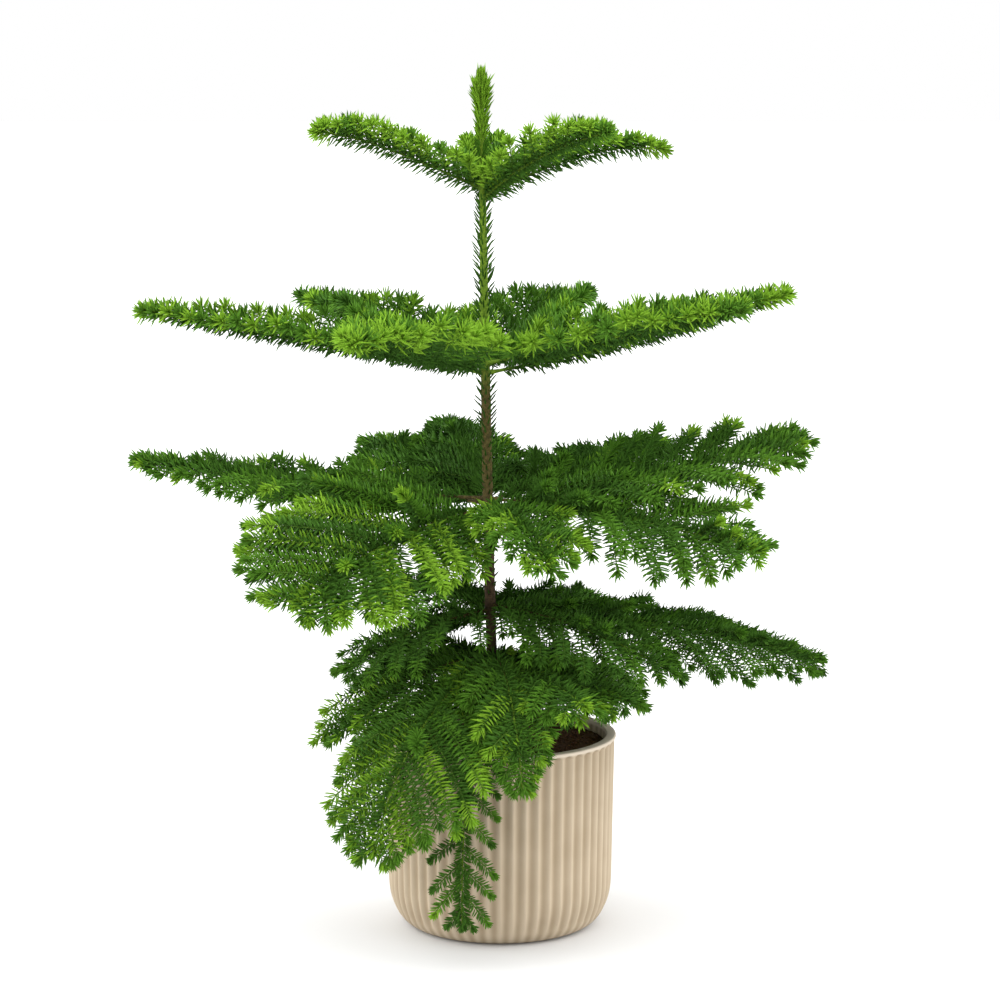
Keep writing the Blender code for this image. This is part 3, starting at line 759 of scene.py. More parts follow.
def mottle_group():
    """Shader group: two colours mixed by coarse and fine noise, for anything grown or fired."""
    if "mottle" in bpy.data.node_groups:
        return bpy.data.node_groups["mottle"]
    colours = {"Light": "Color", "Dark": "Color"}
    numbers = {"Scale": "Float", "Balance": "Float", "Low": "Float", "High": "Float"}
    tree, given, result = shader_group(
        "mottle", {"Vector": "Vector", **colours, **numbers}, {"Color": "Color"}
    )
    tree.interface.items_tree["Low"].default_value = 1 - NOISE_SPAN
    tree.interface.items_tree["High"].default_value = 1 + NOISE_SPAN
    place, scale = given["Vector"], given["Scale"]
    fine_scale = add_node(tree, "Math", {0: scale, 1: FINE_SCALE}, operation="MULTIPLY").outputs[0]
    coarse = add_node(tree, "TexNoise", {"Vector": place, "Scale": scale, "Detail": 3.0})
    fine = add_node(tree, "TexNoise", {"Vector": place, "Scale": fine_scale, "Detail": 2.0})
    both = add_node(tree, "Math", {0: coarse.outputs["Fac"], 1: fine.outputs["Fac"]}, operation="ADD")
    spread = add_node(
        tree, "MapRange", {"Value": both.outputs[0], "From Min": given["Low"], "From Max": given["High"]}
    )
    shift = add_node(
        tree, "Math", {0: spread.outputs["Result"], 1: given["Balance"]}, operation="ADD", use_clamp=True
    )
    mix = add_node(
        tree, "Mix", {"Factor": shift.outputs[0], 6: given["Dark"], 7: given["Light"]}, data_type="RGBA"
    )
    feed(result, {"Color": mix.outputs[2]})
    return tree


def grain_group():
    """Shader group: height and roughness of a fine grain."""
    if "grain" in bpy.data.node_groups:
        return bpy.data.node_groups["grain"]
    tree, given, result = shader_group(
        "grain",
        {"Vector": "Vector", "Scale": "Float", "Roughen": "Float"},
        {"Height": "Float", "Roughness": "Float"},
    )
    inputs = {"Vector": given["Vector"], "Scale": given["Scale"], "Detail": 5.0, "Roughness": 0.62}
    height = add_node(tree, "TexNoise", inputs).outputs["Fac"]
    inputs = {0: height, 1: ROUGHNESS_SPAN, 2: given["Roughen"]}
    rough = add_node(tree, "Math", inputs, operation="MULTIPLY_ADD")
    feed(result, {"Height": height, "Roughness": rough.outputs[0]})
    return tree


def coloured(colour):
    return (*colour, 1.0)


def add_mottle(tree, place, light, dark, scale, balance=0.0):
    inputs = {"Vector": place, "Light": coloured(light), "Dark": coloured(dark)}
    inputs.update({"Scale": scale, "Balance": balance})
    return add_node(tree, "Group", inputs, node_tree=mottle_group())


def blend(tree, value, low, high, below, above):
    """The colour that turns from one to the other as the value goes from low to high."""
    ramp = add_node(
        tree, "MapRange", {"Value": value, "From Min": low, "From Max": high}, interpolation_type="SMOOTHSTEP"
    )
    mix = add_node(tree, "Mix", {"Factor": ramp.outputs["Result"], 6: below, 7: above}, data_type="RGBA")
    return mix.outputs[2]


def natural_material(name, light, dark, scale, roughness, balance=0.0, bump=0.0, grain=900.0, gloss=0.2):
    """Principled material with mottled colour, uneven roughness and, where asked, a fine relief."""
    if name in bpy.data.materials:
        return bpy.data.materials[name]
    material = bpy.data.materials.new(name)
    material.use_nodes = True
    tree = material.node_tree
    place = add_node(tree, "TexCoord", {}, name="place").outputs["Object"]
    mottle = add_mottle(tree, place, light, dark, scale, balance)
    mottle.name = "mottle"
    inputs = {"Vector": place, "Scale": grain, "Roughen": roughness - ROUGHNESS_SPAN / 2}
    texture = add_node(tree, "Group", inputs, node_tree=grain_group()).outputs
    shader = tree.nodes["Principled BSDF"]
    colour = mottle.outputs["Color"]
    feed(shader, {"Base Color": colour, "Roughness": texture["Roughness"], "Specular IOR Level": gloss})
    if bump:
        inputs = {"Height": texture["Height"], "Distance": bump, "Strength": BUMP_STRENGTH}
        feed(shader, {"Normal": add_node(tree, "Bump", inputs).outputs["Normal"]})
    return material


def material_nodes(material):
    """Tree, object coordinates, mottle and shader of a natural material."""
    tree = material.node_tree
    return tree, tree.nodes["place"].outputs["Object"], tree.nodes["mottle"], tree.nodes["Principled BSDF"]


def needle_material(settings, tint):
    light = getattr(settings, tint + "_needles")
    dark = [channel * SHADOW for channel in light]
    return natural_material("needles_" + tint, light, dark, scale=170.0, roughness=0.55, gloss=0.03)


def trunk_material(settings):
    """Bark that turns from grey-brown at the foot over olive to yellow-green under the leader."""
    material = natural_material(
        "trunk_bark", settings.bark_light, settings.bark_dark,
        scale=210.0, roughness=0.82, bump=0.0006, grain=1500.0,
    )
    tree, place, old, shader = material_nodes(material)
    olive = add_mottle(tree, place, settings.olive_light, settings.olive_dark, 190.0)
    young = add_mottle(tree, place, settings.green_light, settings.green_dark, 260.0, 0.1)
    height = add_node(tree, "SeparateXYZ", {"Vector": place}).outputs["Z"]
    middle, upper = TIERS["middle"].height, TIERS["upper"].height
    colour = old.outputs["Color"]
    colour = blend(tree, height, middle - 0.035, middle + 0.030, colour, olive.outputs["Color"])
    colour = blend(tree, height, upper - 0.030, upper + 0.020, colour, young.outputs["Color"])
    feed(shader, {"Base Color": colour})
    return material


def bough_material(settings, brown_to=0.035, green_from=0.110):
    """Old bark that turns to the twigs' green away from the trunk."""
    material = natural_material(
        "old_bough_bark", settings.olive_light, settings.bark_dark,
        scale=220.0, roughness=0.82, bump=0.0005,
    )
    tree, place, old, shader = material_nodes(material)
    young = add_mottle(tree, place, settings.green_light, settings.green_dark, 240.0)
    level = add_node(tree, "VectorMath", {0: place, 1: (1.0, 1.0, 0.0)}, operation="MULTIPLY")
    span = add_node(tree, "VectorMath", {0: level.outputs["Vector"]}, operation="LENGTH").outputs["Value"]
    colour = blend(tree, span, brown_to, green_from, old.outputs["Color"], young.outputs["Color"])
    feed(shader, {"Base Color": colour})
    return material


def stoneware_material(settings):
    """Mottled clay with painted highlight on the ribs, painted shade in the hollows between them, and painted
    light on the lip.
    """
    if "pot_clay" in bpy.data.materials:
        return bpy.data.materials["pot_clay"]
    material = natural_material(
        "pot_clay", settings.clay_light, settings.clay_dark,
        scale=9.0, roughness=0.80, bump=0.00035, grain=1300.0,
    )
    tree, place, mottle, shader = material_nodes(material)
    split = add_node(tree, "SeparateXYZ", {"Vector": place}).outputs

    def step(operation, first, second=0.0):
        return add_node(tree, "Math", {0: first, 1: second}, operation=operation).outputs[0]

    angle = step("ARCTAN2", split["Y"], split["X"])
    # The flutes' wave lightens the ribs and darkens the hollows: painted highlight and painted shade
    painted_rib_shading = step("COSINE", step("MULTIPLY", angle, float(settings.flutes)))
    span = NOISE_SPAN * CLAY_CALM
    feed(mottle, {"Balance": step("MULTIPLY", painted_rib_shading, FLUTE_PAINTED_SHADING), "Low": 1 - span, "High": 1 + span})
    # The smooth lip turns to the lip colour: painted light that keeps it bright under the foliage's shade
    low, high = POT_HEIGHT - LIP_HEIGHT, POT_HEIGHT - LIP_HEIGHT * 0.4
    colour = blend(tree, split["Z"], low, high, mottle.outputs["Color"], coloured(settings.lip_painted_light))
    feed(shader, {"Base Color": colour})
    return material


# Sizes and colours that a user would change


def colour_property(name, description, default):
    return FloatVectorProperty(
        name=name, description=description, default=default, size=3, min=0.0, max=1.0, subtype="COLOR"
    )


def length_property(name, description, default):
    return FloatProperty(
        name=name, description=description, default=default, min=0.0, subtype="DISTANCE", unit="LENGTH"
    )


def light_property(name, description, default):
    return FloatProperty(name=name, description=description, default=default, min=0.0)


class PineWood(bpy.types.PropertyGroup):
    """Trunk, boughs and twigs."""

    relief: length_property("Bark relief", "Height of the ridges in the bark", 0.00035)
    bark_light: colour_property("Bark ridges", "Colour of the old bark's ridges", (0.085, 0.055, 0.026))
    bark_dark: colour_property("Bark cracks", "Colour of the old bark's cracks", (0.018, 0.011, 0.005))
    olive_light: colour_property("Olive bark", "Lighter colour of the middle trunk", (0.120, 0.095, 0.026))
    olive_dark: colour_property("Olive shadow", "Darker colour of the middle trunk", (0.038, 0.034, 0.009))
    green_light: colour_property("Young bark", "Lighter colour of the young stem", (0.165, 0.275, 0.018))
    green_dark: colour_property("Young shadow", "Darker colour of the young stem", (0.050, 0.110, 0.008))
    twig_light: colour_property("Twig", "Lighter colour of the twigs", (0.100, 0.200, 0.016))
    twig_dark: colour_property("Twig shadow", "Darker colour of the twigs", (0.036, 0.085, 0.008))


class PineFoliage(bpy.types.PropertyGroup):
    """Needles."""

    needle_size: FloatProperty(
        name="Needle size", description="Length of the needles against the source's", default=1.0, min=0.2
    )
    # Fresh is the lime of new growth; bright, deep and shade are partly the needles' age and partly painted
    # light and painted shade
    fresh_needles: colour_property("Fresh", "Needles of this spring", (0.235, 0.450, 0.034))
    bright_needles: colour_property("Bright", "Needles in full light", (0.102, 0.250, 0.024))
    deep_needles: colour_property("Deep", "Older needles", (0.070, 0.178, 0.023))
    shade_needles: colour_property("Shade", "Needles of the lowest boughs", (0.053, 0.137, 0.020))


class PinePot(bpy.types.PropertyGroup):
    """The fluted pot."""

    # The ribs lean to the clay colour and the hollows to the clay shadow colour: painted highlight and
    # painted shade, on top of the clay's random mottle
    clay_light: colour_property("Clay", "Colour of the ribs", (0.495, 0.408, 0.298))
    clay_dark: colour_property("Clay shadow", "Colour of the hollows", (0.292, 0.226, 0.146))
    # The lip colour is painted light: a lighter clay that keeps the smooth lip bright where the foliage
    # shades it
    lip_painted_light: colour_property("Lip", "Colour of the smooth lip", (0.600, 0.520, 0.420))
    flute_depth: length_property("Flute depth", "Depth of the hollows between the ribs", 0.0026)
    flutes: IntProperty(name="Flutes", description="Number of ribs round the pot", default=56, min=3)


class PineSoil(bpy.types.PropertyGroup):
    """The potting mix."""

    mix_light: colour_property("Mix", "Lighter crumbs", (0.150, 0.078, 0.036))
    mix_dark: colour_property("Mix shadow", "Darker crumbs", (0.028, 0.015, 0.008))
    chip_light: colour_property("Chips", "Bark chips", (0.225, 0.110, 0.048))
    chip_dark: colour_property("Chip shadow", "Edges of the bark chips", (0.030, 0.016, 0.008))
    chips: IntProperty(name="Chips", description="Number of bark chips", default=1500, min=0)
    chip_size: length_property("Chip size", "Half the length of the largest chips", 0.0028)


class PineStage(bpy.types.PropertyGroup):
    """Camera, light and floor."""

    lens: FloatProperty(name="Lens", description="Focal length in millimetres", default=104.4, min=1.0)
    camera_distance: length_property("Camera distance", "Distance of the camera from the pot's axis", 2.60)
    camera_height: length_property("Camera height", "Height of the camera above the floor", 0.762)
    aim_height: length_property("Aim height", "Height that the camera looks at", 0.391)
    sky: light_property("Sky", "Strength of the light from all round", 1.0)
    side_light: light_property("Side lights", "Strength of the lamps at the sides", 2.7)
    top_light: light_property("Top light", "Strength of the lamp above the front", 1.1)
    back_light: light_property("Back light", "Strength of the lamp above the back", 1.4)
    floor_colour: colour_property("Floor", "Colour of the floor", (0.66, 0.66, 0.66))


# Operators


def nodes_named(*starts):
    return [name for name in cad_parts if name.startswith(starts)]


class PINE_OT_trunk(bpy.types.Operator):
    """Builds the trunk's bark, with the cushions of old needles, over the trunk's solid."""

    bl_idname = "pine.trunk"
    bl_label = "Trunk"

    sides = 28
    rows = 330
    head = 0.022
    head_taper = 0.55
    cushion_height = 0.0052
    spirals = ((3, 2.1), (2, -3.4))
    # The cushions stand out further towards the young head
    swell_foot, swell_gain = 0.35, 0.65
    tip_height = 0.002
    # The old bark is rough, and smooths over this height below the upper whorl
    noise_seed = 3
    roughness = 0.8
    smooth_height = 0.1
    least_rough = 0.25

    def execute(self, context):
        settings = context.scene.pine_wood
        top = PLANT_TOP - self.head
        heights = np.linspace(TRUNK_FOOT, top, self.rows)
        axis = [trunk_axis(height) for height in heights]
        angles = round_angles(self.sides)
        rings = []
        for height, centre in zip(heights, axis):
            radius = trunk_radius(min(height, TRUNK_TIP))
            radius *= 1 - self.head_taper * max(0.0, (height - TRUNK_TIP) / (top - TRUNK_TIP))
            # two families of spirals cross in rows of cushions, as where needles once stood
            rise = height / self.cushion_height
            first, second = (np.cos(angles * turns + rise * slope) for turns, slope in self.spirals)
            swell = self.swell_foot + self.swell_gain * ((height - TRUNK_FOOT) / (top - TRUNK_FOOT))
            relief = settings.relief * (first * second) * swell
            rings.append(centre + outward(angles) * (radius + relief)[:, None])
        vertices = np.concatenate(rings)
        rough = rough_noise(vertices, self.noise_seed, 0.0045, 0.0022)
        below = (TIERS["upper"].height - vertices[:, 2]) / self.smooth_height
        grown = np.clip(below, self.least_rough, 1)
        away = unit_rows(vertices - np.repeat(axis, self.sides, axis=0))
        vertices += away * (rough * settings.relief * self.roughness * grown)[:, None]
        # the foot stays flat where it meets the soil
        vertices[: self.sides, 2] = TRUNK_FOOT
        rings = vertices.reshape(self.rows, self.sides, 3)
        shape = closed_rings(rings, trunk_axis(TRUNK_FOOT), trunk_axis(top + self.tip_height))
        add_piece("trunk_bark", *shape, trunk_material(settings), "bark", ["trunk"])
        return {"FINISHED"}


class PINE_OT_boughs(bpy.types.Operator):
    """Builds the boughs from the trunk to their tips, with the relief of their bark."""

    bl_idname = "pine.boughs"
    bl_label = "Boughs"

    sides = 8
    stations = 56
    sink = 0.6
    end = 0.995
    least_bare = 0.1
    collar = 0.0012
    collar_length = 0.004
    knot_seed = 7
    knot_length = 0.0035
    knot_share = 0.6

    def bough_mesh(self, bough, points, settings):
        start = limb_start(bough, points) * self.sink
        shares = np.linspace(start, self.end, self.stations)
        centres = np.array([axis_frame(bough, points, share)[0] for share in shares])
        stops = [0, max(bough.bare, self.least_bare), 1]
        radii = np.interp(shares, stops, [LIMB_ROOT_RADIUS, LIMB_END_RADIUS, LIMB_TIP_RADIUS])
        radii += self.collar * np.exp(-(shares - start) * bough.length / self.collar_length)
        vertices, triangles = many_tubes(centres[None], radii, self.sides)
        away = unit_rows(vertices[:-1] - np.repeat(centres, self.sides, axis=0))
        knots = wave_noise(vertices[:-1], self.knot_seed, self.knot_length)
        vertices[:-1] += away * (knots * settings.relief * self.knot_share)[:, None]
        return vertices, triangles

    def execute(self, context):
        settings = context.scene.pine_wood
        young_bark = natural_material(
            "young_bough_bark", settings.green_light, settings.green_dark,
            scale=240.0, roughness=0.70, bump=0.0004,
        )
        old_nodes = nodes_named("bough_middle", "bough_lower", "bough_skirt")
        kinds = (
            ("young_boughs", True, young_bark, "young_bark", nodes_named("bough_upper")),
            ("old_boughs", False, bough_material(settings), "bark", old_nodes),
        )
        for name, young, material, slot, nodes in kinds:
            chosen = [bough for bough in BOUGHS if (bough.tier in YOUNG_TIERS) == young]
            parts = [self.bough_mesh(bough, PLANT[bough.name][0], settings) for bough in chosen]
            add_piece(name, *joined(parts), material, slot, nodes)
        return {"FINISHED"}


class PINE_OT_twigs(bpy.types.Operator):
    """Builds the twigs that leave the boughs to both hands."""

    bl_idname = "pine.twigs"
    bl_label = "Twigs"

    def execute(self, context):
        settings = context.scene.pine_wood
        material = natural_material(
            "twig_bark", settings.twig_light, settings.twig_dark, scale=200.0, roughness=0.66
        )
        radii = np.linspace(TWIG_ROOT_RADIUS, TWIG_TIP_RADIUS, TWIG_STATIONS)
        for tier_name in TIERS:
            boughs = [bough for bough in BOUGHS if bough.tier == tier_name]
            paths = []
            for branchlet in [twig for bough in boughs for twig in PLANT[bough.name][1]]:
                length = np.linalg.norm(np.diff(branchlet.path, axis=0), axis=1).sum()
                paths.append(along_path(branchlet.path, np.linspace(0, length, TWIG_STATIONS))[0])
            shape = many_tubes(np.array(paths), radii, TWIG_SIDES)
            add_piece("twigs_" + tier_name, *shape, material, "needles_" + tier_name)
        return {"FINISHED"}


class PINE_OT_needles(bpy.types.Operator):
    """Sets needles on every bough and twig, and joins them by whorl and tint."""

    bl_idname = "pine.needles"
    bl_label = "Needles"

    def execute(self, context):
        settings = context.scene.pine_foliage
        bed = NeedleBed()
        for number, bough in enumerate(BOUGHS):
            chance = np.random.default_rng(NEEDLE_SEED + number)
            points, branchlets = PLANT[bough.name]
            coat = COATS[bough.tier]
            needle = TIERS[bough.tier].needle * bough.fine * settings.needle_size
            start = max(bough.bare * NAKED_SHARE, limb_start(bough, points))
            axis = np.array([axis_frame(bough, points, share)[0] for share in np.linspace(start, 1.0, 40)])
            upper = axis_frame(bough, points, 0.5)[3]
            # The bough's own needles sit under its branchlets and take the deep tint: partly older needles,
            # partly painted shade
            tints = ("deep", pick(chance, coat.tip, bough.tone))
            clothe(bed, bough.tier, axis, upper, chance, tints, needle, bough.fine, inset=LIMB_TIP_RADIUS)
            for path, upper, tuft in branchlets:
                tints = (pick(chance, coat.body, bough.tone), pick(chance, coat.tip, bough.tone))
                clothe(
                    bed, bough.tier, path, upper, chance, tints, needle, bough.fine, bare=TWIG_FOOT, tuft=tuft
                )
        for (tier_name, tint), rows in sorted(bed.rows.items()):
            rows = np.concatenate(rows)
            rings = COATS[tier_name].rings
            pieces = math.ceil(len(rows) * NEEDLE_TRIANGLES[rings] / MOST_TRIANGLES)
            for number, part in enumerate(np.array_split(rows, pieces)):
                name = f"needles_{tier_name}_{tint}" + (f"_{number + 1}" if pieces > 1 else "")
                nodes = nodes_named("foliage_" + tier_name)
                material = needle_material(settings, tint)
                add_piece(name, *bed.mesh(part, rings), material, "needles_" + tier_name, nodes)
        return {"FINISHED"}


class PINE_OT_stem_needles(bpy.types.Operator):
    """Sets the sparse needles between the whorls and the bushy head of the leader."""

    bl_idname = "pine.stem_needles"
    bl_label = "Stem needles"

    # Between the whorls: tint, heights from and to, needles a metre, length, opened at the foot and head
    stretches = (
        ("shade", 0.300, 0.385, 420, 0.0095, 56, 52),
        ("shade", 0.394, 0.508, 1000, 0.0120, 52, 48),
        ("shade", 0.518, 0.590, 1100, 0.0135, 48, 45),
        ("deep", 0.590, 0.663, 1200, 0.0135, 45, 42),
    )
    stem_curl = 14
    stem_width = 0.00080
    stem_seed = 20

    # Leader: where it starts over the top whorl and ends under the plant's top
    leader_foot = 0.004
    leader_head = 0.0175
    # Needles are few and short at its foot, crowded and long at its head
    leader_count = 190
    leader_crowding = 0.66
    # How far they open and how long they are: at the foot, and what is added up to the head
    leader_opened = (34, 12)
    leader_length = (0.0072, 0.0095)
    leader_curl = 16
    leader_width = 0.00090
    # Tint, from and to as shares of its height, seed
    leader_tints = (("deep", 0.0, 0.12, 31), ("bright", 0.12, 0.45, 32), ("fresh", 0.45, 1.01, 34))

    # The tuft at its tip: where it is from the leader's head, and how far it opens at both ends
    tuft_count = 120
    tuft_span = (-0.016, 0.005)
    tuft_opened = (44, 6)
    tuft_length = 0.0175
    tuft_curl = 14
    tuft_width = 0.00095
    tuft_seed = 33

    # All of them: how far their turn (radians) and opening (degrees) stray, their sizes against their
    # length, and how deep they stand in the bark as a share of the radius
    turn_stray = 0.3
    opened_stray = 8
    sizes = (0.85, 1.12)
    depth = 0.75

    def ring_of_needles(self, bed, key, heights, lengths, opened, curl, half_width, seed):
        chance = np.random.default_rng(seed)
        count = len(heights)
        stray = chance.uniform(-self.turn_stray, self.turn_stray, count)
        radial = outward(np.arange(count) * GOLDEN_ANGLE + stray)
        centres = np.array([trunk_axis(height) for height in heights])
        radii = np.array([trunk_radius(min(height, TRUNK_TIP)) for height in heights])
        along = np.tile([0.0, 0.0, 1.0], (count, 1))
        opened = np.radians(opened + chance.uniform(-self.opened_stray, self.opened_stray, count))
        lengths = lengths * chance.uniform(*self.sizes, count)
        root = centres + radial * (radii * self.depth)[:, None]
        bed.add(key, root, along, radial, opened, math.radians(curl), lengths, half_width)

    def add_stem(self, bed):
        for seed, (tint, low, high, density, length, foot, head) in enumerate(self.stretches, self.stem_seed):
            heights = np.linspace(low, high, round((high - low) * density))
            opened = np.linspace(foot, head, len(heights))
            self.ring_of_needles(
                bed, ("stem", tint), heights, length, opened, self.stem_curl, self.stem_width, seed
            )

    def add_leader(self, bed):
        low = TIERS["top"].height + self.leader_foot
        head = PLANT_TOP - self.leader_head
        share = np.linspace(0, 1, self.leader_count) ** self.leader_crowding
        heights = low + (head - low) * share
        opened = self.leader_opened[0] + self.leader_opened[1] * share
        lengths = self.leader_length[0] + self.leader_length[1] * share
        for tint, start, end, seed in self.leader_tints:
            chosen = (share >= start) & (share < end)
            rows = heights[chosen], lengths[chosen], opened[chosen]
            self.ring_of_needles(bed, ("leader", tint), *rows, self.leader_curl, self.leader_width, seed)
        start, end = self.tuft_span
        heights = np.linspace(head + start, head + end, self.tuft_count)
        rows = heights, self.tuft_length, np.linspace(*self.tuft_opened, self.tuft_count)
        self.ring_of_needles(bed, ("leader", "fresh"), *rows, self.tuft_curl, self.tuft_width, self.tuft_seed)

    def execute(self, context):
        settings = context.scene.pine_foliage
        bed = NeedleBed()
        self.add_stem(bed)
        self.add_leader(bed)
        for (part, tint), rows in sorted(bed.rows.items()):
            nodes = ["leader"] if part == "leader" else []
            shape = bed.mesh(np.concatenate(rows), 2)
            add_piece(f"{part}_needles_{tint}", *shape, needle_material(settings, tint), "needles_top", nodes)
        return {"FINISHED"}


class PINE_OT_pot(bpy.types.Operator):
    """Builds the pot with its rounded ribs, smooth lip and rounded base."""

    bl_idname = "pine.pot"
    bl_label = "Pot"

    foot_radius = 0.078
    foot_round = 0.003
    foot_rise = 0.0004
    base_radius = 0.1026
    base_height = 0.045
    rim_radius = 0.1050
    lip_depth = 0.0086
    outer_round = 0.0014
    inner_round = 0.0008
    flute_top = 0.1738
    flute_bottom = 0.0080
    arch = 0.0026
    top_fade = 0.0014
    bottom_fade = 0.0110
    hollow_power = 0.62
    floor_thickness = 0.012
    floor_radius = 0.086
    middle_radius = 0.02
    lip_slack = 0.0005
    columns_a_flute = 8
    base_steps, outer_steps, inner_steps = 18, 6, 5
    wall_shares = np.linspace(0.14, 1, 7)
    rim_shares = np.linspace(0.1, 1, 10)
    inside_shares = (0.06, 0.5, 1.0)

    def profile(self):
        """Radius and height from the underside's centre up the outside, over the lip and down inside."""
        points = [(self.middle_radius, 0.0), (self.foot_radius - self.foot_round, 0.0)]
        for turn in np.linspace(0, math.pi / 2, self.base_steps):
            radius = self.foot_radius + (self.base_radius - self.foot_radius) * math.sin(turn)
            height = self.foot_rise + (self.base_height - self.foot_rise) * (1 - math.cos(turn))
            points.append((radius, height))
        end = self.flute_top - self.arch - self.top_fade
        for share in self.wall_shares:
            radius = self.base_radius + (self.rim_radius - self.base_radius) * share
            points.append((radius, self.base_height + (end - self.base_height) * share))
        for share in self.rim_shares:
            height = end + (self.flute_top - end) * share
            points.append((self.rim_radius + (LIP_RADIUS - self.rim_radius) * share**2, height))
        inner = LIP_RADIUS - self.lip_depth
        for turn in np.linspace(0, math.pi / 2, self.outer_steps):
            radius = LIP_RADIUS - self.outer_round * (1 - math.cos(turn))
            points.append((radius, POT_HEIGHT - self.outer_round * (1 - math.sin(turn))))
        for turn in np.linspace(0, math.pi / 2, self.inner_steps):
            radius = inner + self.inner_round * (1 - math.sin(turn))
            points.append((radius, POT_HEIGHT - self.inner_round * (1 - math.cos(turn))))
        top = POT_HEIGHT - self.inner_round
        for share in self.inside_shares:
            height = top - (top - self.floor_thickness) * share
            points.append((inner + (self.floor_radius - inner) * share, height))
        points.append((self.middle_radius, self.floor_thickness))
        return points

    def execute(self, context):
        settings = context.scene.pine_pot
        angles = round_angles(settings.flutes * self.columns_a_flute)
        # hollows with an arched upper end, between narrow rounded ribs
        half_turn = angles * settings.flutes / 2
        hollow = (np.sin(half_turn) ** 2) ** self.hollow_power
        arch = self.arch * np.cos(half_turn) ** 2
        rings = []
        outside = True
        for radius, height in self.profile():
            if radius < LIP_RADIUS - self.lip_slack and height > self.flute_top:
                outside = False
            rise = smooth((height - self.flute_bottom) / self.bottom_fade)
            fall = smooth((self.flute_top - arch - height) / self.top_fade)
            reach = radius - settings.flute_depth * (rise * fall * outside) * hollow
            rings.append(outward(angles) * reach[:, None] + [0, 0, height])
        shape = closed_rings(rings, [0, 0, 0.0], [0, 0, self.floor_thickness])
        add_piece("fluted_pot", *shape, stoneware_material(settings), "stoneware", ["pot"])
        return {"FINISHED"}


class PINE_OT_soil(bpy.types.Operator):
    """Builds the crumbly surface of the potting mix and the bark chips that lie on it."""

    bl_idname = "pine.soil"
    bl_label = "Soil"

    crown = 0.0030
    bump = 0.0012
    depth = 0.02
    sides = 120
    rows = 44
    middle_radius = 0.001
    trunk_room = 0.0085
    trunk_fade = 0.01
    noise_seed = 41
    lump_share = 0.7

    # Bark chips: their size and shape from the least to the most, and how they lie
    chip_seed = 60
    chip_margin = 0.003
    chip_rise = (-0.0002, 0.0007)
    chip_sizes = (0.3, 1.0)
    small_chips = 1.5
    chip_widths = (0.22, 0.6)
    chip_heights = (0.15, 0.35)
    chip_corners = (0.6, 1.1)
    chip_slope = 0.45
    chip_tilt = 0.28
    # Faces of a box whose corners are numbered by x, then y, then z
    box = (
        (0, 2, 1), (1, 2, 3), (4, 5, 6), (5, 7, 6), (0, 1, 4), (1, 5, 4),
        (2, 6, 3), (3, 6, 7), (0, 4, 2), (2, 4, 6), (1, 3, 5), (3, 7, 5),
    )

    def surface_height(self, places, edge):
        share = np.linalg.norm(places[:, :2], axis=1) / edge
        flat = np.column_stack([places[:, :2], np.zeros(len(places))])
        lumps = rough_noise(flat, self.noise_seed, 0.011, 0.005)
        away = np.clip((share * edge - self.trunk_room) / self.trunk_fade, 0, 1)
        return SOIL_LEVEL - self.crown * share**2 - self.bump * (1 - self.lump_share * lumps) * away

    def execute(self, context):
        settings = context.scene.pine_soil
        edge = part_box("soil")[1].x
        rings = []
        for radius in np.linspace(self.middle_radius, edge, self.rows):
            ring = outward(round_angles(self.sides)) * radius
            ring[:, 2] = self.surface_height(ring, edge)
            rings.append(ring)
        side = rings[-1].copy()
        side[:, 2] = SOIL_LEVEL - self.depth
        middle = [0, 0, rings[0][0, 2]]
        shape = closed_rings([side, *rings[::-1]], [0, 0, SOIL_LEVEL - self.depth], middle)
        looks = {"scale": 420.0, "roughness": 0.92, "bump": 0.0012, "grain": 800.0, "gloss": 0.06}
        crumbs = natural_material("soil_crumbs", settings.mix_light, settings.mix_dark, **looks)
        add_piece("potting_mix", *shape, crumbs, "potting_mix", ["soil"])
        self.add_chips(settings, edge)
        return {"FINISHED"}

    def add_chips(self, settings, edge):
        """Flat irregular chips, each a box with its corners pushed about."""
        chance = np.random.default_rng(self.chip_seed)
        count = settings.chips
        radius = np.sqrt(chance.uniform(self.trunk_room**2, (edge - self.chip_margin) ** 2, count))
        centre = outward(chance.uniform(0, 2 * math.pi, count)) * radius[:, None]
        centre[:, 2] = self.surface_height(centre, edge) + chance.uniform(*self.chip_rise, count)
        size = settings.chip_size * chance.uniform(*self.chip_sizes, count) ** self.small_chips
        width = size * chance.uniform(*self.chip_widths, count)
        half = np.stack([size, width, size * chance.uniform(*self.chip_heights, count)], -1)
        corners = np.array([(x, y, z) for z in (-1, 1) for y in (-1, 1) for x in (-1, 1)], float)
        shape = corners[None] * half[:, None] * chance.uniform(*self.chip_corners, (count, 8, 3))
        first = outward(chance.uniform(0, 2 * math.pi, count))
        first[:, 2] = chance.uniform(-self.chip_slope, self.chip_slope, count)
        first = unit_rows(first)
        third = unit_rows(np.array([0, 0, 1.0]) + chance.normal(0, self.chip_tilt, (count, 3)))
        second = unit_rows(np.cross(third, first))
        axes = (first, second, np.cross(first, second))
        turned = sum(shape[..., [number]] * axis[:, None] for number, axis in enumerate(axes))
        looks = {"scale": 260.0, "roughness": 0.88, "balance": -0.15, "bump": 0.0005, "gloss": 0.06}
        bark = natural_material("bark_chips", settings.chip_light, settings.chip_dark, **looks)
        vertices = (centre[:, None] + turned).reshape(-1, 3)
        piece = add_piece("bark_chips", vertices, many_copies(self.box, count, 8), bark, "potting_mix")
        piece.data.shade_flat()


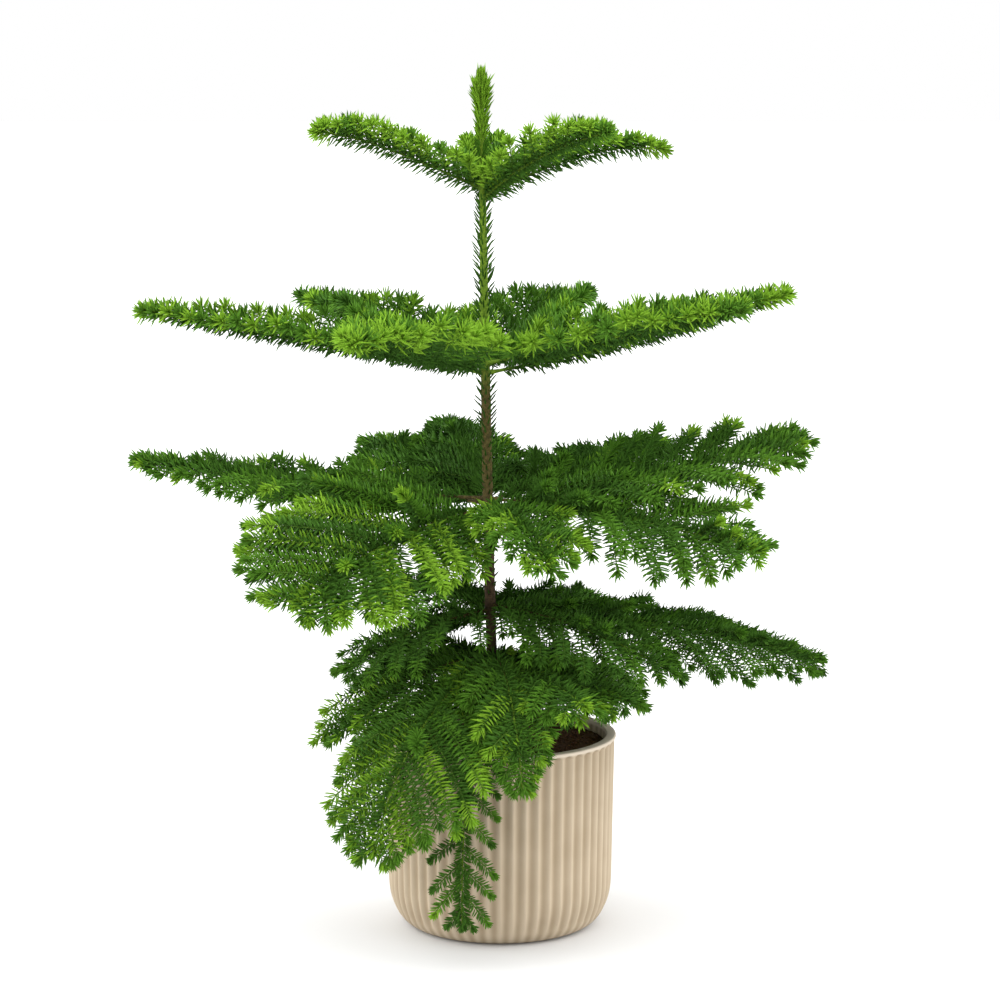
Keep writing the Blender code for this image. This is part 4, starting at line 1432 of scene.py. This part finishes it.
class PINE_OT_stage(bpy.types.Operator):
    """Sets up the floor, the soft light and the camera at the photograph's angle."""

    bl_idname = "pine.stage"
    bl_label = "Stage"

    floor_size = 60.0
    floor_drop = 0.0002
    lamp_angle = 75
    lamps = (
        ("left_lamp", (-1.0, -0.15, 0.50), "side_light"),
        ("right_lamp", (1.0, -0.05, 0.50), "side_light"),
        ("back_lamp", (0.15, 0.80, 1.0), "back_light"),
        ("top_lamp", (-0.25, -0.55, 1.0), "top_light"),
    )

    def add_holder(self, name, data, place, target):
        """Puts a lamp or camera at that place, facing the target."""
        holder = bpy.data.objects.new(name, data)
        bpy.context.scene.collection.objects.link(holder)
        holder.location = place
        holder.rotation_euler = (Vector(target) - Vector(place)).to_track_quat("-Z", "Y").to_euler()
        return holder

    def execute(self, context):
        settings = context.scene.pine_stage
        scene = context.scene
        mesh = bpy.data.meshes.new("floor")
        size = self.floor_size
        corners = [(-size, -size, 0), (size, -size, 0), (size, size, 0), (-size, size, 0)]
        mesh.from_pydata(corners, [], [(0, 1, 2, 3)])
        floor = bpy.data.objects.new("floor", mesh)
        scene.collection.objects.link(floor)
        floor.location.z = -self.floor_drop
        shadow = [channel * 0.985 for channel in settings.floor_colour]
        paper = natural_material("floor_paper", settings.floor_colour, shadow, scale=2.0, roughness=0.9)
        mesh.materials.append(paper)

        world = bpy.data.worlds.new("studio")
        world.use_nodes = True
        feed(world.node_tree.nodes["Background"], {"Color": (1.0, 1.0, 1.0, 1.0), "Strength": settings.sky})
        scene.world = world

        # wide soft lamps that shine from those directions on everything alike
        for name, place, power in self.lamps:
            lamp = bpy.data.lights.new(name, "SUN")
            lamp.energy = getattr(settings, power)
            lamp.angle = math.radians(self.lamp_angle)
            self.add_holder(name, lamp, place, (0.0, 0.0, 0.0))

        lens = bpy.data.cameras.new("camera")
        lens.sensor_width = 36.0
        lens.lens = settings.lens
        place = (0.0, -settings.camera_distance, settings.camera_height)
        scene.camera = self.add_holder("camera", lens, place, (0.0, 0.0, settings.aim_height))
        scene.view_settings.view_transform = "Standard"
        return {"FINISHED"}


class PINE_PT_sidebar(bpy.types.Panel):
    """Lists the steps that build the plant, and what can be changed in each."""

    bl_idname = "PINE_PT_sidebar"
    bl_label = "Potted pine"
    bl_space_type = "VIEW_3D"
    bl_region_type = "UI"
    bl_category = "Pine"

    def draw(self, context):
        layout = self.layout
        for name, group_name in (
            ("pine.stage", "pine_stage"),
            ("pine.pot", "pine_pot"),
            ("pine.soil", "pine_soil"),
            ("pine.trunk", "pine_wood"),
            ("pine.boughs", None),
            ("pine.twigs", None),
            ("pine.needles", "pine_foliage"),
            ("pine.stem_needles", None),
        ):
            layout.operator(name)
            if group_name:
                box = layout.box()
                settings = getattr(context.scene, group_name)
                for key in settings.__annotations__:
                    box.prop(settings, key)


GROUPS = {
    "pine_wood": PineWood,
    "pine_foliage": PineFoliage,
    "pine_pot": PinePot,
    "pine_soil": PineSoil,
    "pine_stage": PineStage,
}
CLASSES = (
    *GROUPS.values(),
    PINE_OT_stage,
    PINE_OT_pot,
    PINE_OT_soil,
    PINE_OT_trunk,
    PINE_OT_boughs,
    PINE_OT_twigs,
    PINE_OT_needles,
    PINE_OT_stem_needles,
    PINE_PT_sidebar,
)
PLANT = grow()


def register():
    for item in CLASSES:
        bpy.utils.register_class(item)
    for name, group in GROUPS.items():
        setattr(bpy.types.Scene, name, PointerProperty(type=group))


def unregister():
    for name in GROUPS:
        delattr(bpy.types.Scene, name)
    for item in reversed(CLASSES):
        bpy.utils.unregister_class(item)


def main():
    register()
    bpy.ops.pine.stage()
    bpy.ops.pine.pot()
    bpy.ops.pine.soil()
    bpy.ops.pine.trunk()
    bpy.ops.pine.boughs()
    bpy.ops.pine.twigs()
    bpy.ops.pine.needles()
    bpy.ops.pine.stem_needles()


if __name__ == "__main__":
    main()
